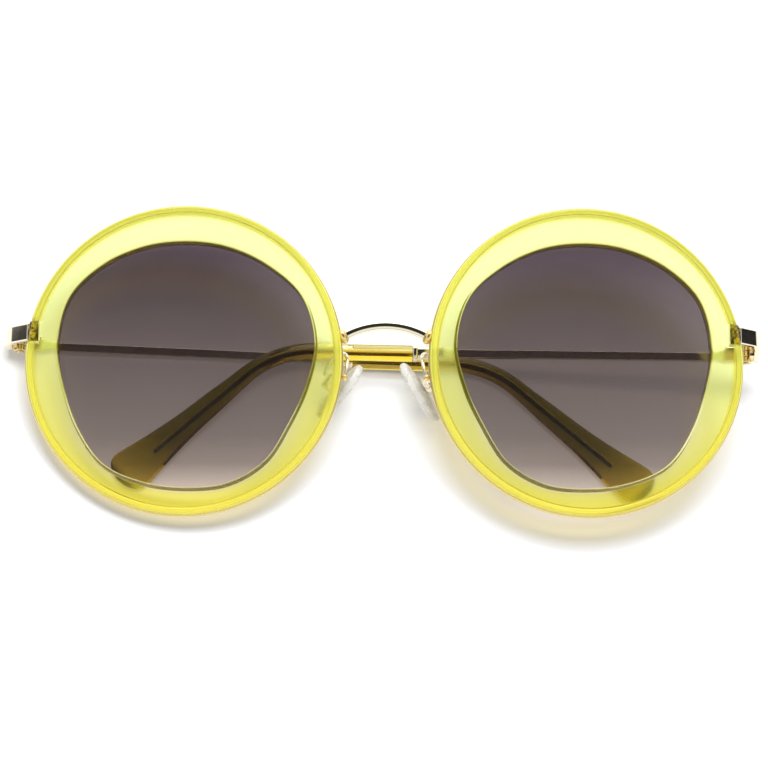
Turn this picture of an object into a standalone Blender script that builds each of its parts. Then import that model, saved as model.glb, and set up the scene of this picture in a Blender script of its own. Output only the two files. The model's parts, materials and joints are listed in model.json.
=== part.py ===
"""Round sunglasses: metal rims round clear yellow ring inserts, tinted lenses, folding temples.

Left and right are the wearer's. The front is modelled upright in its own frame, with x to the
wearer's left, y going back towards the face and z up, and then laid down, lenses up, on its
folded temples. All sizes are in metres.
"""
from math import acos, asin, atan2, cos, degrees, pi, radians, sin, sqrt, tan

import bmesh
import bpy
from mathutils import Matrix, Vector

# Front: two rings side by side, turned back a little round the face
RING_GAP = 0.0171
FACE_WRAP_DEG = 2.8

# Ring insert: clear plastic ring with a bead round its edge
BAND_WIDTH = 0.0057
INSERT_THICKNESS = 0.0038
BEAD_WIDTH = 0.0012
BEAD_PROUD = 0.00015
BEAD_CROWN_SHARE = 0.3
BEAD_FALL_SHARE = 0.6
BEAD_GROOVE_WIDTH = 0.0003
BEAD_GROOVE_DEPTH = 0.0002
INNER_CHAMFER = 0.0004
OUTER_ROUND = 0.0004
OPENING_WIDTH = 0.0495
OPENING_HEIGHT = 0.0484
OPENING_NASAL_SHIFT = 0.00045
OPENING_DROP = 0.0009
# Opening outline from the temple side over the top, as shares of half its width and height
OPENING_SHARES = [
    (1.0, 0.17), (0.915, 0.545), (0.66, 0.81), (0.335, 0.96), (0.0, 1.0), (-0.33, 0.95),
    (-0.64, 0.795), (-0.90, 0.54), (-1.0, 0.17), (-0.93, -0.19), (-0.795, -0.50), (-0.615, -0.79),
    (-0.33, -0.965), (0.0, -1.0), (0.325, -0.955), (0.63, -0.81), (0.83, -0.525), (0.945, -0.19),
]
OPENING_STEPS = 3

# Lens: domed, its edge bevelled into a groove of the insert
LENS_THICKNESS = 0.0016
LENS_DOME = 0.0015
LENS_GROOVE_SETBACK = 0.0029
LENS_GROOVE_WIDTH = 0.0011
LENS_GROOVE_DEPTH = 0.0006
LENS_CLEARANCE = 0.00006
LENS_RING_SHARES = [0.35, 0.7, 1.0]

# Rim: thin metal band in a groove round the insert, split at the closing block
RIM_WIDTH = 0.0011
RIM_SETBACK = 0.0010
RIM_PROUD = 0.00035
RIM_SEAT_DEPTH = 0.00055
RIM_ROUND = 0.0002
RIM_CLEARANCE = 0.00005

# Closing block: two halves on the rim's ends, drawn together by a screw
LOCK_WIDTH = 0.0020
LOCK_DEPTH = 0.0020
LOCK_HALF_HEIGHT = 0.00185
LOCK_SPLIT = 0.0001
LOCK_OVERHANG = 0.0003
LOCK_POCKET_CLEARANCE = 0.0001
LOCK_SCREW_DIAMETER = 0.0010
LOCK_SCREW_HEAD_DIAMETER = 0.0015
LOCK_SCREW_HEAD_HEIGHT = 0.0005
SCREW_CLEARANCE = 0.00008

# End piece: flat bar from the closing block back to the hinge
END_HEIGHT = 0.0057
END_BAR_HEIGHT = 0.0033
END_BAR_THICKNESS = 0.0012
END_BAR_ROUND = 0.0003
END_SLANT_DEG = 40.0
END_BEND_RADIUS = 0.0013
END_BEND_STEPS = 5
SOLDER_GAP = 0.00005

# Temple hinge: three knuckles on a screw, each side bent to its own height
HINGE_REACH = 0.0020
HINGE_DEPTH = 0.0102
HINGE_DROP = {1: 0.0022, -1: 0.0005}
PANTOSCOPIC_TILT_DEG = 7.0
KNUCKLE_RADIUS = 0.0012
KNUCKLE_HEIGHT = 0.00115
KNUCKLE_GAP = 0.00005
KNUCKLE_ROOM = 0.0001
HINGE_SCREW_DIAMETER = 0.0012
HINGE_SCREW_HEAD_DIAMETER = 0.0019
HINGE_SCREW_HEAD_HEIGHT = 0.0005
HINGE_SCREW_TAIL = 0.0003
PLATE_THICKNESS = 0.0008
PLATE_HEIGHT = 0.0026
FRONT_PLATE_LENGTH = 0.0033
TEMPLE_PLATE_LENGTH = 0.0042

# Temples: flat metal arm, ferrule, and a clear sleeve over a core wire
FOLD_AWAY_DEG = {1: 1.0, -1: 4.5}
FOLD_DROP_DEG = {1: -0.7, -1: 1.3}
ARM_BUTT_GAP = 0.00015
ARM_BUTT_HEIGHT = 0.0027
ARM_BUTT_THICKNESS = 0.0011
ARM_HEIGHT = 0.0017
ARM_THICKNESS = 0.0009
ARM_TAPER_START = 0.0040
ARM_TAPER_END = 0.0065
ARM_ROUND = 0.0002
ARM_STEPS = 3
FERRULE_START = 0.0595
FERRULE_LENGTH = 0.0050
FERRULE_HEIGHT = 0.0026
FERRULE_THICKNESS = 0.0021
COLLAR_LENGTH = 0.0010
COLLAR_HEIGHT = 0.0031
COLLAR_THICKNESS = 0.0025
FERRULE_SQUARENESS = 0.62
FERRULE_BORE_SQUARENESS = 0.30
FERRULE_SIDES = 16
FERRULE_CLEARANCE = 0.00008
CORE_DIAMETER = 0.0011
CORE_CLEARANCE = 0.0001
CORE_SIDES = 8
CORE_STEPS = 16
TEMPLE_LENGTH = 0.1328
TEMPLE_BEND_AT = 0.0925
TEMPLE_BEND_RADIUS = 0.020
TEMPLE_BEND_DEG = {1: 43.6, -1: 40.9}
TEMPLE_BOW = 0.0040
BOW_START = 0.050
CORE_END_SHORT = 0.0090
SLEEVE_START_HEIGHT = 0.0034
SLEEVE_PADDLE_HEIGHT = 0.0088
SLEEVE_START_THICKNESS = 0.0025
SLEEVE_PADDLE_THICKNESS = 0.0028
SLEEVE_END_ROUND = 0.0032
SLEEVE_END_FLAT_SHARE = 0.35
SLEEVE_SQUARENESS = 0.72
SLEEVE_SIDES = 12
SLEEVE_STEPS = 18
SLEEVE_END_STEPS = 5
# How far the sleeve has widened into its paddle, at shares of its length
SLEEVE_WIDENING_SHARES = [
    (0.0, 0.0), (0.45, -0.02), (0.63, 0.19), (0.735, 0.33), (0.80, 0.49), (0.855, 0.66), (0.91, 0.88),
    (0.95, 1.0), (1.0, 1.0)]

# Bridge: oval bar arched over the nose
BRIDGE_HEIGHT = 0.0019
BRIDGE_THICKNESS = 0.0015
BRIDGE_FOOT_HEIGHT = 0.0042
BRIDGE_RISE = 0.0025
BRIDGE_FLARE_SHARE = 1.35
BRIDGE_FLARE_POWER = 8
BRIDGE_SIDES = 12
BRIDGE_STEPS = 16
BRIDGE_SEAT_SIDES = 96

# Nose pads: clear soft pads on looped wire arms, each bent by hand to its own place
PAD_LENGTH = 0.0133
PAD_WIDTH = 0.0070
PAD_THICKNESS = 0.0021
PAD_EDGE_ROUND = 0.0007
PAD_DOME_SHARE = 0.5
PAD_DEPTH = 0.0082
PAD_DROP = 0.0040
PAD_FRONTAL_DEG = {1: 31.0, -1: 37.0}
PAD_SPLAY_DEG = 24.0
# How far each pad's middle lies inside the rims: below zero, it lies behind its rim
LEFT_PAD_INSET = 0.00035
RIGHT_PAD_INSET = -0.00135
# Pad outline, narrow at the top, as shares of half its length and width
PAD_OUTLINE_SHARES = [
    (1.0, 0.0), (0.95, 0.42), (0.80, 0.74), (0.55, 0.95), (0.22, 1.0), (-0.15, 0.96), (-0.50, 0.84),
    (-0.78, 0.62), (-0.95, 0.33), (-1.0, 0.0),
]
PAD_STEM_LENGTH = 0.0018
PAD_STEM_WIDTH = 0.0010
PAD_STEM_HEIGHT = 0.0016
PAD_BOX_WALL = 0.0004
PAD_BOX_CLEARANCE = 0.0001
PAD_BOX_STANDOFF = 0.0002
PAD_SCREW_DIAMETER = 0.0007
PAD_SCREW_HEAD_DIAMETER = 0.0012
PAD_SCREW_HEAD_HEIGHT = 0.0004
PAD_ARM_DIAMETER = 0.00075
PAD_ARM_FOOT_DROP = 0.0036
PAD_ARM_LOOP_RISE = 0.0050
PAD_ARM_LOOP_INSET = 0.0014
# Route of the pad arm between its foot and the box: share of the way, share of the loop's rise,
# and share of the loop's inset towards the nose
PAD_ARM_ROUTE_SHARES = [(0.0, 0.0, 0.0), (0.08, 0.42, 0.55), (0.26, 0.85, 1.0), (0.48, 1.0, 0.85),
                        (0.70, 0.85, 0.40), (0.88, 0.48, 0.10), (1.0, 0.10, 0.0)]

# How the folded sunglasses lie: front tipped up at its top edge, one end a little high
TABLE_TILT_DEG = 14.256
TABLE_ROLL_DEG = -4.488

# Working values
CUT_OVERRUN = 0.0020
ROUND_SIDES = 20
SMALL_SIDES = 12
SMOOTH_ANGLE_DEG = 32.0

INSERT_DIAMETER = max(OPENING_WIDTH, OPENING_HEIGHT) + 2 * BAND_WIDTH
INSERT_RADIUS = INSERT_DIAMETER / 2
RING_SPACING = INSERT_DIAMETER + RING_GAP
RIM_OUTER_RADIUS = INSERT_RADIUS + RIM_PROUD
RIM_INNER_RADIUS = INSERT_RADIUS - RIM_SEAT_DEPTH + RIM_CLEARANCE
RIM_MIDDLE = RIM_SETBACK + RIM_WIDTH / 2
LOCK_OUTER = sqrt(INSERT_RADIUS ** 2 - END_HEIGHT ** 2) + LOCK_OVERHANG
LOCK_CENTRE = LOCK_OUTER - LOCK_WIDTH / 2
LOCK_TALL = 2 * LOCK_HALF_HEIGHT + LOCK_SPLIT
HINGE_SPREAD = RING_SPACING + 2 * (LOCK_OUTER * cos(radians(FACE_WRAP_DEG)) + HINGE_REACH)
HINGE_TALL = 3 * KNUCKLE_HEIGHT + 2 * KNUCKLE_GAP
BAR_INNER = KNUCKLE_RADIUS + KNUCKLE_ROOM
TEMPLE_LINE = BAR_INNER + END_BAR_THICKNESS / 2
SLEEVE_START = FERRULE_START + FERRULE_LENGTH + COLLAR_LENGTH + SOLDER_GAP
PAD_INSET = {1: LEFT_PAD_INSET, -1: RIGHT_PAD_INSET}
SIDES = {1: "left", -1: "right"}


# Scene

def clear_scene():
    for thing in list(bpy.data.objects):
        bpy.data.objects.remove(thing, do_unlink=True)


def finish(name, colour, roughness, metallic=0.0, clear=0.0):
    """A plain finish for one kind of piece."""
    mat = bpy.data.materials.get(name) or bpy.data.materials.new(name)
    mat.use_nodes = True
    shader = mat.node_tree.nodes["Principled BSDF"]
    shader.inputs["Base Color"].default_value = (*colour, 1.0)
    shader.inputs["Roughness"].default_value = roughness
    shader.inputs["Metallic"].default_value = metallic
    shader.inputs["Transmission Weight"].default_value = clear
    mat.diffuse_color = (*colour, 1.0)
    return mat


def gold(name):
    return finish(name, (0.83, 0.69, 0.42), 0.18, metallic=1.0)


def add_empty(name, parent=None, place=Matrix()):
    empty = bpy.data.objects.new(name, None)
    bpy.context.scene.collection.objects.link(empty)
    empty.parent = parent
    empty.matrix_local = place
    return empty


def add_piece(name, mesh, mat, parent, place=Matrix()):
    piece = bpy.data.objects.new(name, mesh)
    bpy.context.scene.collection.objects.link(piece)
    piece.parent = parent
    piece.matrix_local = place
    mesh.materials.clear()
    mesh.materials.append(mat)
    mesh.shade_smooth()
    mesh.set_sharp_from_angle(angle=radians(SMOOTH_ANGLE_DEG))
    return piece


def cut(piece, cutter, operation="DIFFERENCE"):
    """Cuts or joins with an EXACT Boolean, and leaves the tool as a hidden wire guide."""
    cutter.hide_render = True
    cutter.display_type = "WIRE"
    change = piece.modifiers.new(operation.lower(), "BOOLEAN")
    change.operation = operation
    change.solver = "EXACT"
    change.object = cutter
    return piece


# Mesh building

def mesh_from(name, verts, faces):
    """A closed mesh with its faces turned outwards."""
    mesh = bpy.data.meshes.new(name)
    mesh.from_pydata([tuple(v) for v in verts], [], faces)
    shape = bmesh.new()
    shape.from_mesh(mesh)
    bmesh.ops.recalc_face_normals(shape, faces=shape.faces)
    shape.to_mesh(mesh)
    shape.free()
    mesh.update()
    return mesh


def mesh_from_rings(name, rings, closed=False):
    """Skins a row of equal rings of points, and caps both ends unless the row closes on itself."""
    count = len(rings[0])
    verts = [point for ring in rings for point in ring]
    faces = []
    spans = len(rings) if closed else len(rings) - 1
    for i in range(spans):
        here = i * count
        there = ((i + 1) % len(rings)) * count
        for k in range(count):
            after = (k + 1) % count
            faces.append((here + k, here + after, there + after, there + k))
    if not closed:
        faces.append(tuple(reversed(range(count))))
        faces.append(tuple(range(len(verts) - count, len(verts))))
    return mesh_from(name, verts, faces)


def box_mesh(name, low, high):
    (x0, y0, z0), (x1, y1, z1) = low, high
    verts = [(x0, y0, z0), (x1, y0, z0), (x1, y1, z0), (x0, y1, z0),
             (x0, y0, z1), (x1, y0, z1), (x1, y1, z1), (x0, y1, z1)]
    faces = [(0, 3, 2, 1), (4, 5, 6, 7), (0, 1, 5, 4), (1, 2, 6, 5), (2, 3, 7, 6), (3, 0, 4, 7)]
    return mesh_from(name, verts, faces)


def circle_points(radius, sides, turn=0.0):
    return [(radius * cos(turn + 2 * pi * k / sides), radius * sin(turn + 2 * pi * k / sides))
            for k in range(sides)]


def turned_mesh(name, outline, sides):
    """A turned piece round z, from (radius, height) points going up its outside."""
    rings = [[Vector((x, y, height)) for x, y in circle_points(radius, sides)]
             for radius, height in outline]
    return mesh_from_rings(name, rings)


def rounded_outline(width, height, corner):
    """An eight-point outline of a bar with its four corners cut off."""
    a = width / 2
    b = height / 2
    return [(a, b - corner), (a - corner, b), (corner - a, b), (-a, b - corner),
            (-a, corner - b), (corner - a, -b), (a - corner, -b), (a, corner - b)]


def oval_outline(width, height, sides, squareness=1.0):
    """An oval outline, made squarer as the share goes below one."""
    points = []
    for k in range(sides):
        turn = 2 * pi * (k + 0.5) / sides
        x = abs(cos(turn)) ** squareness * (1 if cos(turn) > 0 else -1)
        y = abs(sin(turn)) ** squareness * (1 if sin(turn) > 0 else -1)
        points.append((width / 2 * x, height / 2 * y))
    return points


def section(centre, across, up, outline):
    return [centre + across * a + up * b for a, b in outline]


def smooth_points(points, steps, closed=False):
    """Points on the smooth curve through the given ones."""
    rows = [Vector(p) for p in points]
    count = len(rows)
    spans = count if closed else count - 1
    curve = []
    for i in range(spans):
        before = rows[(i - 1) % count] if closed or i > 0 else rows[0] * 2 - rows[1]
        start = rows[i]
        end = rows[(i + 1) % count]
        after = rows[(i + 2) % count] if closed or i + 2 < count else rows[-1] * 2 - rows[-2]
        for k in range(steps):
            t = k / steps
            curve.append(0.5 * (2 * start + (end - before) * t
                                + (2 * before - 5 * start + 4 * end - after) * t ** 2
                                + (3 * start - before - 3 * end + after) * t ** 3))
    if not closed:
        curve.append(rows[-1])
    return curve


def share_between(table, at):
    """Reads a table of (place, value) shares, going straight from row to row."""
    for (start, low), (end, high) in zip(table, table[1:]):
        if at <= end:
            t = (at - start) / (end - start)
            return low + (high - low) * t
    return table[-1][1]


# Frames that the pieces are placed by

def ring_place(side):
    """Ring frame: x across the ring, y back, z up, from the centre of its front face."""
    return Matrix.Translation((side * RING_SPACING / 2, 0, 0)) @ Matrix.Rotation(
        side * radians(FACE_WRAP_DEG), 4, "Z")


def hinge_centre(side):
    return Vector((side * HINGE_SPREAD / 2, HINGE_DEPTH, END_HEIGHT - HINGE_DROP[side]))


def open_direction():
    tilt = radians(PANTOSCOPIC_TILT_DEG)
    return Vector((0, cos(tilt), -sin(tilt)))


def folded_direction(side):
    away = radians(FOLD_AWAY_DEG[side])
    drop = radians(FOLD_DROP_DEG[side])
    return Vector((-side * cos(away) * cos(drop), sin(away) * cos(drop), -sin(drop)))


def hinge_axis(side):
    """The hinge screw's line, pointing up."""
    return (open_direction().cross(folded_direction(side)) * side).normalized()


def hinge_place(side, along):
    """Hinge frame: x along the temple, z up the screw, from the middle of the hinge."""
    axis = hinge_axis(side)
    third = axis.cross(along)
    turn = Matrix((along, third, axis)).transposed().to_4x4()
    return Matrix.Translation(hinge_centre(side)) @ turn


def opening_angle(side):
    return acos(open_direction().dot(folded_direction(side)))


def temple_point(side, along, outward, up):
    return Vector((along, -side * outward, up))


# Ring insert, lens and rim

def opening_curve():
    """The lens opening in the ring's plane, with the outward direction at each point."""
    half = (OPENING_WIDTH / 2, OPENING_HEIGHT / 2)
    control = [(half[0] * a - OPENING_NASAL_SHIFT, half[1] * b - OPENING_DROP, 0)
               for a, b in OPENING_SHARES]
    curve = smooth_points(control, OPENING_STEPS, closed=True)
    count = len(curve)
    outward = []
    for k in range(count):
        run = curve[(k + 1) % count] - curve[k - 1]
        outward.append(Vector((run.y, -run.x, 0)).normalized())
    return curve, outward


def opening_loop(side, curve, outward, offset, depth, share=1.0):
    middle = Vector((-OPENING_NASAL_SHIFT, -OPENING_DROP, 0))
    loop = []
    for point, out in zip(curve, outward):
        edge = middle + (point + out * offset - middle) * share
        loop.append(Vector((side * edge.x, depth, edge.y)))
    return loop


def circle_loop(side, curve, radius, depth):
    """A circle of the ring whose points stand outside those of the opening."""
    loop = []
    for point in curve:
        turn = atan2(point.y, point.x)
        loop.append(Vector((side * radius * cos(turn), depth, radius * sin(turn))))
    return loop


def make_insert(side, parent):
    curve, outward = opening_curve()
    groove_front = LENS_GROOVE_SETBACK - LENS_GROOVE_WIDTH / 2
    groove_back = LENS_GROOVE_SETBACK + LENS_GROOVE_WIDTH / 2
    bead_start = INSERT_RADIUS - BEAD_WIDTH
    seat_radius = INSERT_RADIUS - RIM_SEAT_DEPTH
    seat_front = RIM_SETBACK - RIM_CLEARANCE
    seat_back = RIM_SETBACK + RIM_WIDTH + RIM_CLEARANCE

    def inner(offset, depth):
        return opening_loop(side, curve, outward, offset, depth)

    def outer(radius, depth):
        return circle_loop(side, curve, radius, depth)

    loops = [
        inner(0, groove_front),
        inner(0, INNER_CHAMFER),
        inner(INNER_CHAMFER, 0),
        outer(bead_start - BEAD_GROOVE_WIDTH, 0),
        outer(bead_start - BEAD_GROOVE_WIDTH / 2, BEAD_GROOVE_DEPTH),
        outer(bead_start, 0),
        outer(bead_start + BEAD_WIDTH * BEAD_CROWN_SHARE, -BEAD_PROUD),
        outer(INSERT_RADIUS - BEAD_WIDTH * BEAD_CROWN_SHARE, -BEAD_PROUD * BEAD_FALL_SHARE),
        outer(INSERT_RADIUS, OUTER_ROUND),
        outer(INSERT_RADIUS, seat_front),
        outer(seat_radius, seat_front),
        outer(seat_radius, seat_back),
        outer(INSERT_RADIUS, seat_back),
        outer(INSERT_RADIUS, INSERT_THICKNESS - OUTER_ROUND),
        outer(INSERT_RADIUS - OUTER_ROUND, INSERT_THICKNESS),
        inner(INNER_CHAMFER, INSERT_THICKNESS),
        inner(0, INSERT_THICKNESS - INNER_CHAMFER / 2),
        inner(0, groove_back),
        inner(LENS_GROOVE_DEPTH, LENS_GROOVE_SETBACK),
    ]
    name = SIDES[side] + "_ring_insert"
    mat = finish("clear_yellow_plastic", (0.93, 0.98, 0.22), 0.12, clear=0.6)
    insert = add_piece(name, mesh_from_rings(name, loops, closed=True), mat, parent)
    room = LOCK_POCKET_CLEARANCE
    half = LOCK_TALL / 2 + room
    front = RIM_MIDDLE - LOCK_DEPTH / 2 - room
    reach = sorted((side * (LOCK_CENTRE - LOCK_WIDTH / 2 - room), side * (INSERT_RADIUS + CUT_OVERRUN)))
    pocket = box_mesh(name + "_pocket", (reach[0], front, END_HEIGHT - half),
                      (reach[1], INSERT_THICKNESS + CUT_OVERRUN, END_HEIGHT + half))
    return cut(insert, add_piece(name + "_pocket", pocket, mat, parent))


def make_lens(side, parent):
    curve, outward = opening_curve()
    front = LENS_GROOVE_SETBACK - LENS_THICKNESS / 2
    back = LENS_GROOVE_SETBACK + LENS_THICKNESS / 2
    bevel = LENS_GROOVE_WIDTH / 2 - LENS_CLEARANCE

    def edge(offset, depth):
        return opening_loop(side, curve, outward, offset - LENS_CLEARANCE, depth)

    def face(depth, share):
        rise = LENS_DOME * (1 - share ** 2)
        return opening_loop(side, curve, outward, -LENS_CLEARANCE, depth - rise, share)

    loops = [face(front, share) for share in LENS_RING_SHARES]
    loops.append(edge(0, LENS_GROOVE_SETBACK - bevel))
    loops.append(edge(LENS_GROOVE_DEPTH, LENS_GROOVE_SETBACK))
    loops.append(edge(0, LENS_GROOVE_SETBACK + bevel))
    loops += [face(back, share) for share in reversed(LENS_RING_SHARES)]
    name = SIDES[side] + "_lens"
    mat = finish("tinted_lens", (0.30, 0.25, 0.26), 0.05, clear=0.8)
    return add_piece(name, mesh_from_rings(name, loops), mat, parent)


def make_rim(side, parent):
    """A band round the insert from the closing block's top face round to its bottom face."""
    curve, _ = opening_curve()
    middle_radius = (RIM_OUTER_RADIUS + RIM_INNER_RADIUS) / 2
    start = asin((END_HEIGHT + LOCK_TALL / 2 + SOLDER_GAP + RIM_PROUD) / middle_radius)
    end = 2 * pi + asin((END_HEIGHT - LOCK_TALL / 2 - SOLDER_GAP - RIM_PROUD) / middle_radius)
    split = (start + end) / 2 - pi
    turns = [split + (atan2(point.y, point.x) - split) % (2 * pi) for point in curve]
    margin = pi / 8 / len(curve)
    inside = sorted(t for t in turns if start + margin < t < end - margin)
    outline = rounded_outline(RIM_OUTER_RADIUS - RIM_INNER_RADIUS, RIM_WIDTH, RIM_ROUND)
    rings = []
    for turn in [start, *inside, end]:
        out = Vector((side * cos(turn), 0, sin(turn)))
        centre = out * middle_radius + Vector((0, RIM_MIDDLE, 0))
        rings.append(section(centre, out, Vector((0, 1, 0)), outline))
    name = SIDES[side] + "_rim"
    return add_piece(name, mesh_from_rings(name, rings), gold("rim_metal"), parent)


# Closing block

def upright_hole(name, radius, low, high, place, parent, mat):
    drill = turned_mesh(name, [(radius, low), (radius, high)], SMALL_SIDES)
    return add_piece(name, drill, mat, parent, place)


def make_lock(side, parent):
    label = SIDES[side]
    mat = gold("block_metal")
    inner = LOCK_CENTRE - LOCK_WIDTH / 2
    reach = sorted((side * inner, side * LOCK_OUTER))
    front = RIM_MIDDLE - LOCK_DEPTH / 2
    back = RIM_MIDDLE + LOCK_DEPTH / 2
    top = END_HEIGHT + LOCK_TALL / 2
    bottom = END_HEIGHT - LOCK_TALL / 2
    split_high = END_HEIGHT + LOCK_SPLIT / 2
    split_low = END_HEIGHT - LOCK_SPLIT / 2
    axis = Matrix.Translation((side * LOCK_CENTRE, RIM_MIDDLE, 0))
    hole = LOCK_SCREW_DIAMETER / 2 + SCREW_CLEARANCE
    sink = LOCK_SCREW_HEAD_DIAMETER / 2 + SCREW_CLEARANCE
    head_top = bottom + LOCK_SCREW_HEAD_HEIGHT
    tip = top - LOCK_SCREW_HEAD_HEIGHT
    upper = add_piece(label + "_rim_lock_upper", box_mesh(
        "upper", (reach[0], front, split_high), (reach[1], back, top)), mat, parent)
    lower = add_piece(label + "_rim_lock_lower", box_mesh(
        "lower", (reach[0], front, bottom), (reach[1], back, split_low)), mat, parent)
    cut(upper, upright_hole(label + "_lock_thread_hole", hole, split_low, tip + SCREW_CLEARANCE,
                            axis, parent, mat))
    cut(lower, upright_hole(label + "_lock_clear_hole", hole, bottom - CUT_OVERRUN, split_high,
                            axis, parent, mat))
    cut(lower, upright_hole(label + "_lock_head_hole", sink, bottom - CUT_OVERRUN,
                            head_top + SCREW_CLEARANCE, axis, parent, mat))
    shank = LOCK_SCREW_DIAMETER / 2
    head = LOCK_SCREW_HEAD_DIAMETER / 2
    outline = [(head, bottom), (head, head_top), (shank, head_top), (shank, tip)]
    screw = turned_mesh(label + "_rim_lock_screw", outline, SMALL_SIDES)
    return upper, lower, add_piece(label + "_rim_lock_screw", screw, gold("screw_metal"), parent, axis)


# End piece

def end_piece_route(side):
    """Middle line of the bar: out and back from the closing block, round a bend, to the hinge."""
    ring = ring_place(side)
    start = ring @ Vector((side * (LOCK_OUTER + SOLDER_GAP), RIM_MIDDLE, END_HEIGHT))
    butt = hinge_place(side, open_direction()) @ temple_point(side, -SOLDER_GAP, TEMPLE_LINE, 0)
    slant = radians(END_SLANT_DEG)
    run = abs(butt.x - start.x)
    corner = Vector((butt.x, start.y + run * tan(slant), start.z))
    trim = END_BEND_RADIUS * tan((pi / 2 - slant) / 2)
    into = (start - corner).normalized()
    away = (butt - corner).normalized()
    route = [(start, into * -1)]
    for k in range(END_BEND_STEPS + 1):
        t = k / END_BEND_STEPS
        point = (1 - t) ** 2 * (corner + into * trim) + 2 * t * (1 - t) * corner + t ** 2 * (
            corner + away * trim)
        route.append((point, ((1 - t) * (into * -1) + t * away).normalized()))
    route.append((butt, open_direction()))
    return route


def make_end_piece(side, parent):
    route = end_piece_route(side)
    outline = rounded_outline(END_BAR_THICKNESS, END_BAR_HEIGHT, END_BAR_ROUND)
    ring_turn = ring_place(side).to_3x3()
    rings = []
    for k, (point, along) in enumerate(route):
        share = k / (len(route) - 1)
        up = (Vector((0, 0, 1)) * (1 - share) + hinge_axis(side) * share).normalized()
        across = along.cross(up).normalized()
        ring = section(point, across, up, outline)
        if k == 0:
            # The first face lies flat against the closing block
            outward = ring_turn @ Vector((side, 0, 0))
            ring = [p - along * ((p - point).dot(outward) / along.dot(outward)) for p in ring]
        rings.append(ring)
    name = SIDES[side] + "_end_piece"
    return add_piece(name, mesh_from_rings(name, rings), gold("bar_metal"), parent)


# Hinge

def knuckle_mesh(name, low, high, radius=KNUCKLE_RADIUS):
    return turned_mesh(name, [(radius, low), (radius, high)], ROUND_SIDES)


def plate_mesh(name, side, along, outward, tall):
    across = sorted((-side * outward[0], -side * outward[1]))
    return box_mesh(name, (along[0], across[0], -tall / 2), (along[1], across[1], tall / 2))


def make_hinge_half(name, side, parent, along, own, others):
    """A plate with its own knuckles, cut clear of the other half's knuckles and of the screw."""
    mat = gold("hinge_metal")
    outward = (BAR_INNER - SOLDER_GAP - PLATE_THICKNESS, BAR_INNER - SOLDER_GAP)
    half = add_piece(name, plate_mesh(name, side, along, outward, PLATE_HEIGHT), mat, parent)
    for k, (low, high) in enumerate(others):
        room = knuckle_mesh(f"{name}_room_{k}", low - KNUCKLE_GAP, high + KNUCKLE_GAP,
                            KNUCKLE_RADIUS + KNUCKLE_ROOM)
        cut(half, add_piece(f"{name}_room_{k}", room, mat, parent))
    for k, (low, high) in enumerate(own):
        knuckle = knuckle_mesh(f"{name}_knuckle_{k}", low, high)
        cut(half, add_piece(f"{name}_knuckle_{k}", knuckle, mat, parent), "UNION")
    drill = turned_mesh(name + "_drill", [
        (HINGE_SCREW_DIAMETER / 2 + SCREW_CLEARANCE, -HINGE_TALL),
        (HINGE_SCREW_DIAMETER / 2 + SCREW_CLEARANCE, HINGE_TALL)], ROUND_SIDES)
    return cut(half, add_piece(name + "_drill", drill, mat, parent))


def make_hinge(side, front_parent, temple_parent):
    label = SIDES[side]
    top = HINGE_TALL / 2
    middle = KNUCKLE_HEIGHT / 2
    outer_knuckles = [(-top, -top + KNUCKLE_HEIGHT), (top - KNUCKLE_HEIGHT, top)]
    middle_knuckle = [(-middle, middle)]
    make_hinge_half(label + "_front_hinge", side, front_parent, (-FRONT_PLATE_LENGTH, 0),
                    outer_knuckles, middle_knuckle)
    make_hinge_half(label + "_temple_hinge", side, temple_parent, (0, TEMPLE_PLATE_LENGTH),
                    middle_knuckle, outer_knuckles)
    shank = HINGE_SCREW_DIAMETER / 2
    head = HINGE_SCREW_HEAD_DIAMETER / 2
    seat = top + KNUCKLE_GAP
    outline = [(shank, -top - HINGE_SCREW_TAIL), (shank, seat), (head, seat),
               (head, seat + HINGE_SCREW_HEAD_HEIGHT)]
    screw = turned_mesh(label + "_hinge_screw", outline, SMALL_SIDES)
    add_piece(label + "_hinge_screw", screw, gold("screw_metal"), front_parent)


# Temple

def temple_station(side, along):
    """A place on the temple's middle line, with its tangent, at a distance from the hinge."""
    bend = radians(TEMPLE_BEND_DEG[side])
    trim = TEMPLE_BEND_RADIUS * tan(bend / 2)
    straight = TEMPLE_BEND_AT - trim
    arc = TEMPLE_BEND_RADIUS * bend
    if along <= straight:
        place = (along, 0)
        turn = 0.0
    elif along <= straight + arc:
        turn = (along - straight) / TEMPLE_BEND_RADIUS
        place = (straight + TEMPLE_BEND_RADIUS * sin(turn), -TEMPLE_BEND_RADIUS * (1 - cos(turn)))
    else:
        rest = along - straight - arc
        turn = bend
        place = (straight + TEMPLE_BEND_RADIUS * sin(bend) + rest * cos(bend),
                 -TEMPLE_BEND_RADIUS * (1 - cos(bend)) - rest * sin(bend))
    span = TEMPLE_LENGTH - BOW_START
    share = max(0.0, along - BOW_START) / span
    inward = TEMPLE_BOW * share ** 2
    lean = 2 * TEMPLE_BOW * share / span
    centre = temple_point(side, place[0], TEMPLE_LINE - inward, place[1])
    tangent = temple_point(side, cos(turn), -lean, -sin(turn)).normalized()
    up = temple_point(side, sin(turn), 0, cos(turn))
    return centre, tangent, up


def temple_ring(side, along, outline):
    centre, tangent, up = temple_station(side, along)
    return section(centre, tangent.cross(up).normalized(), up, outline)


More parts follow.
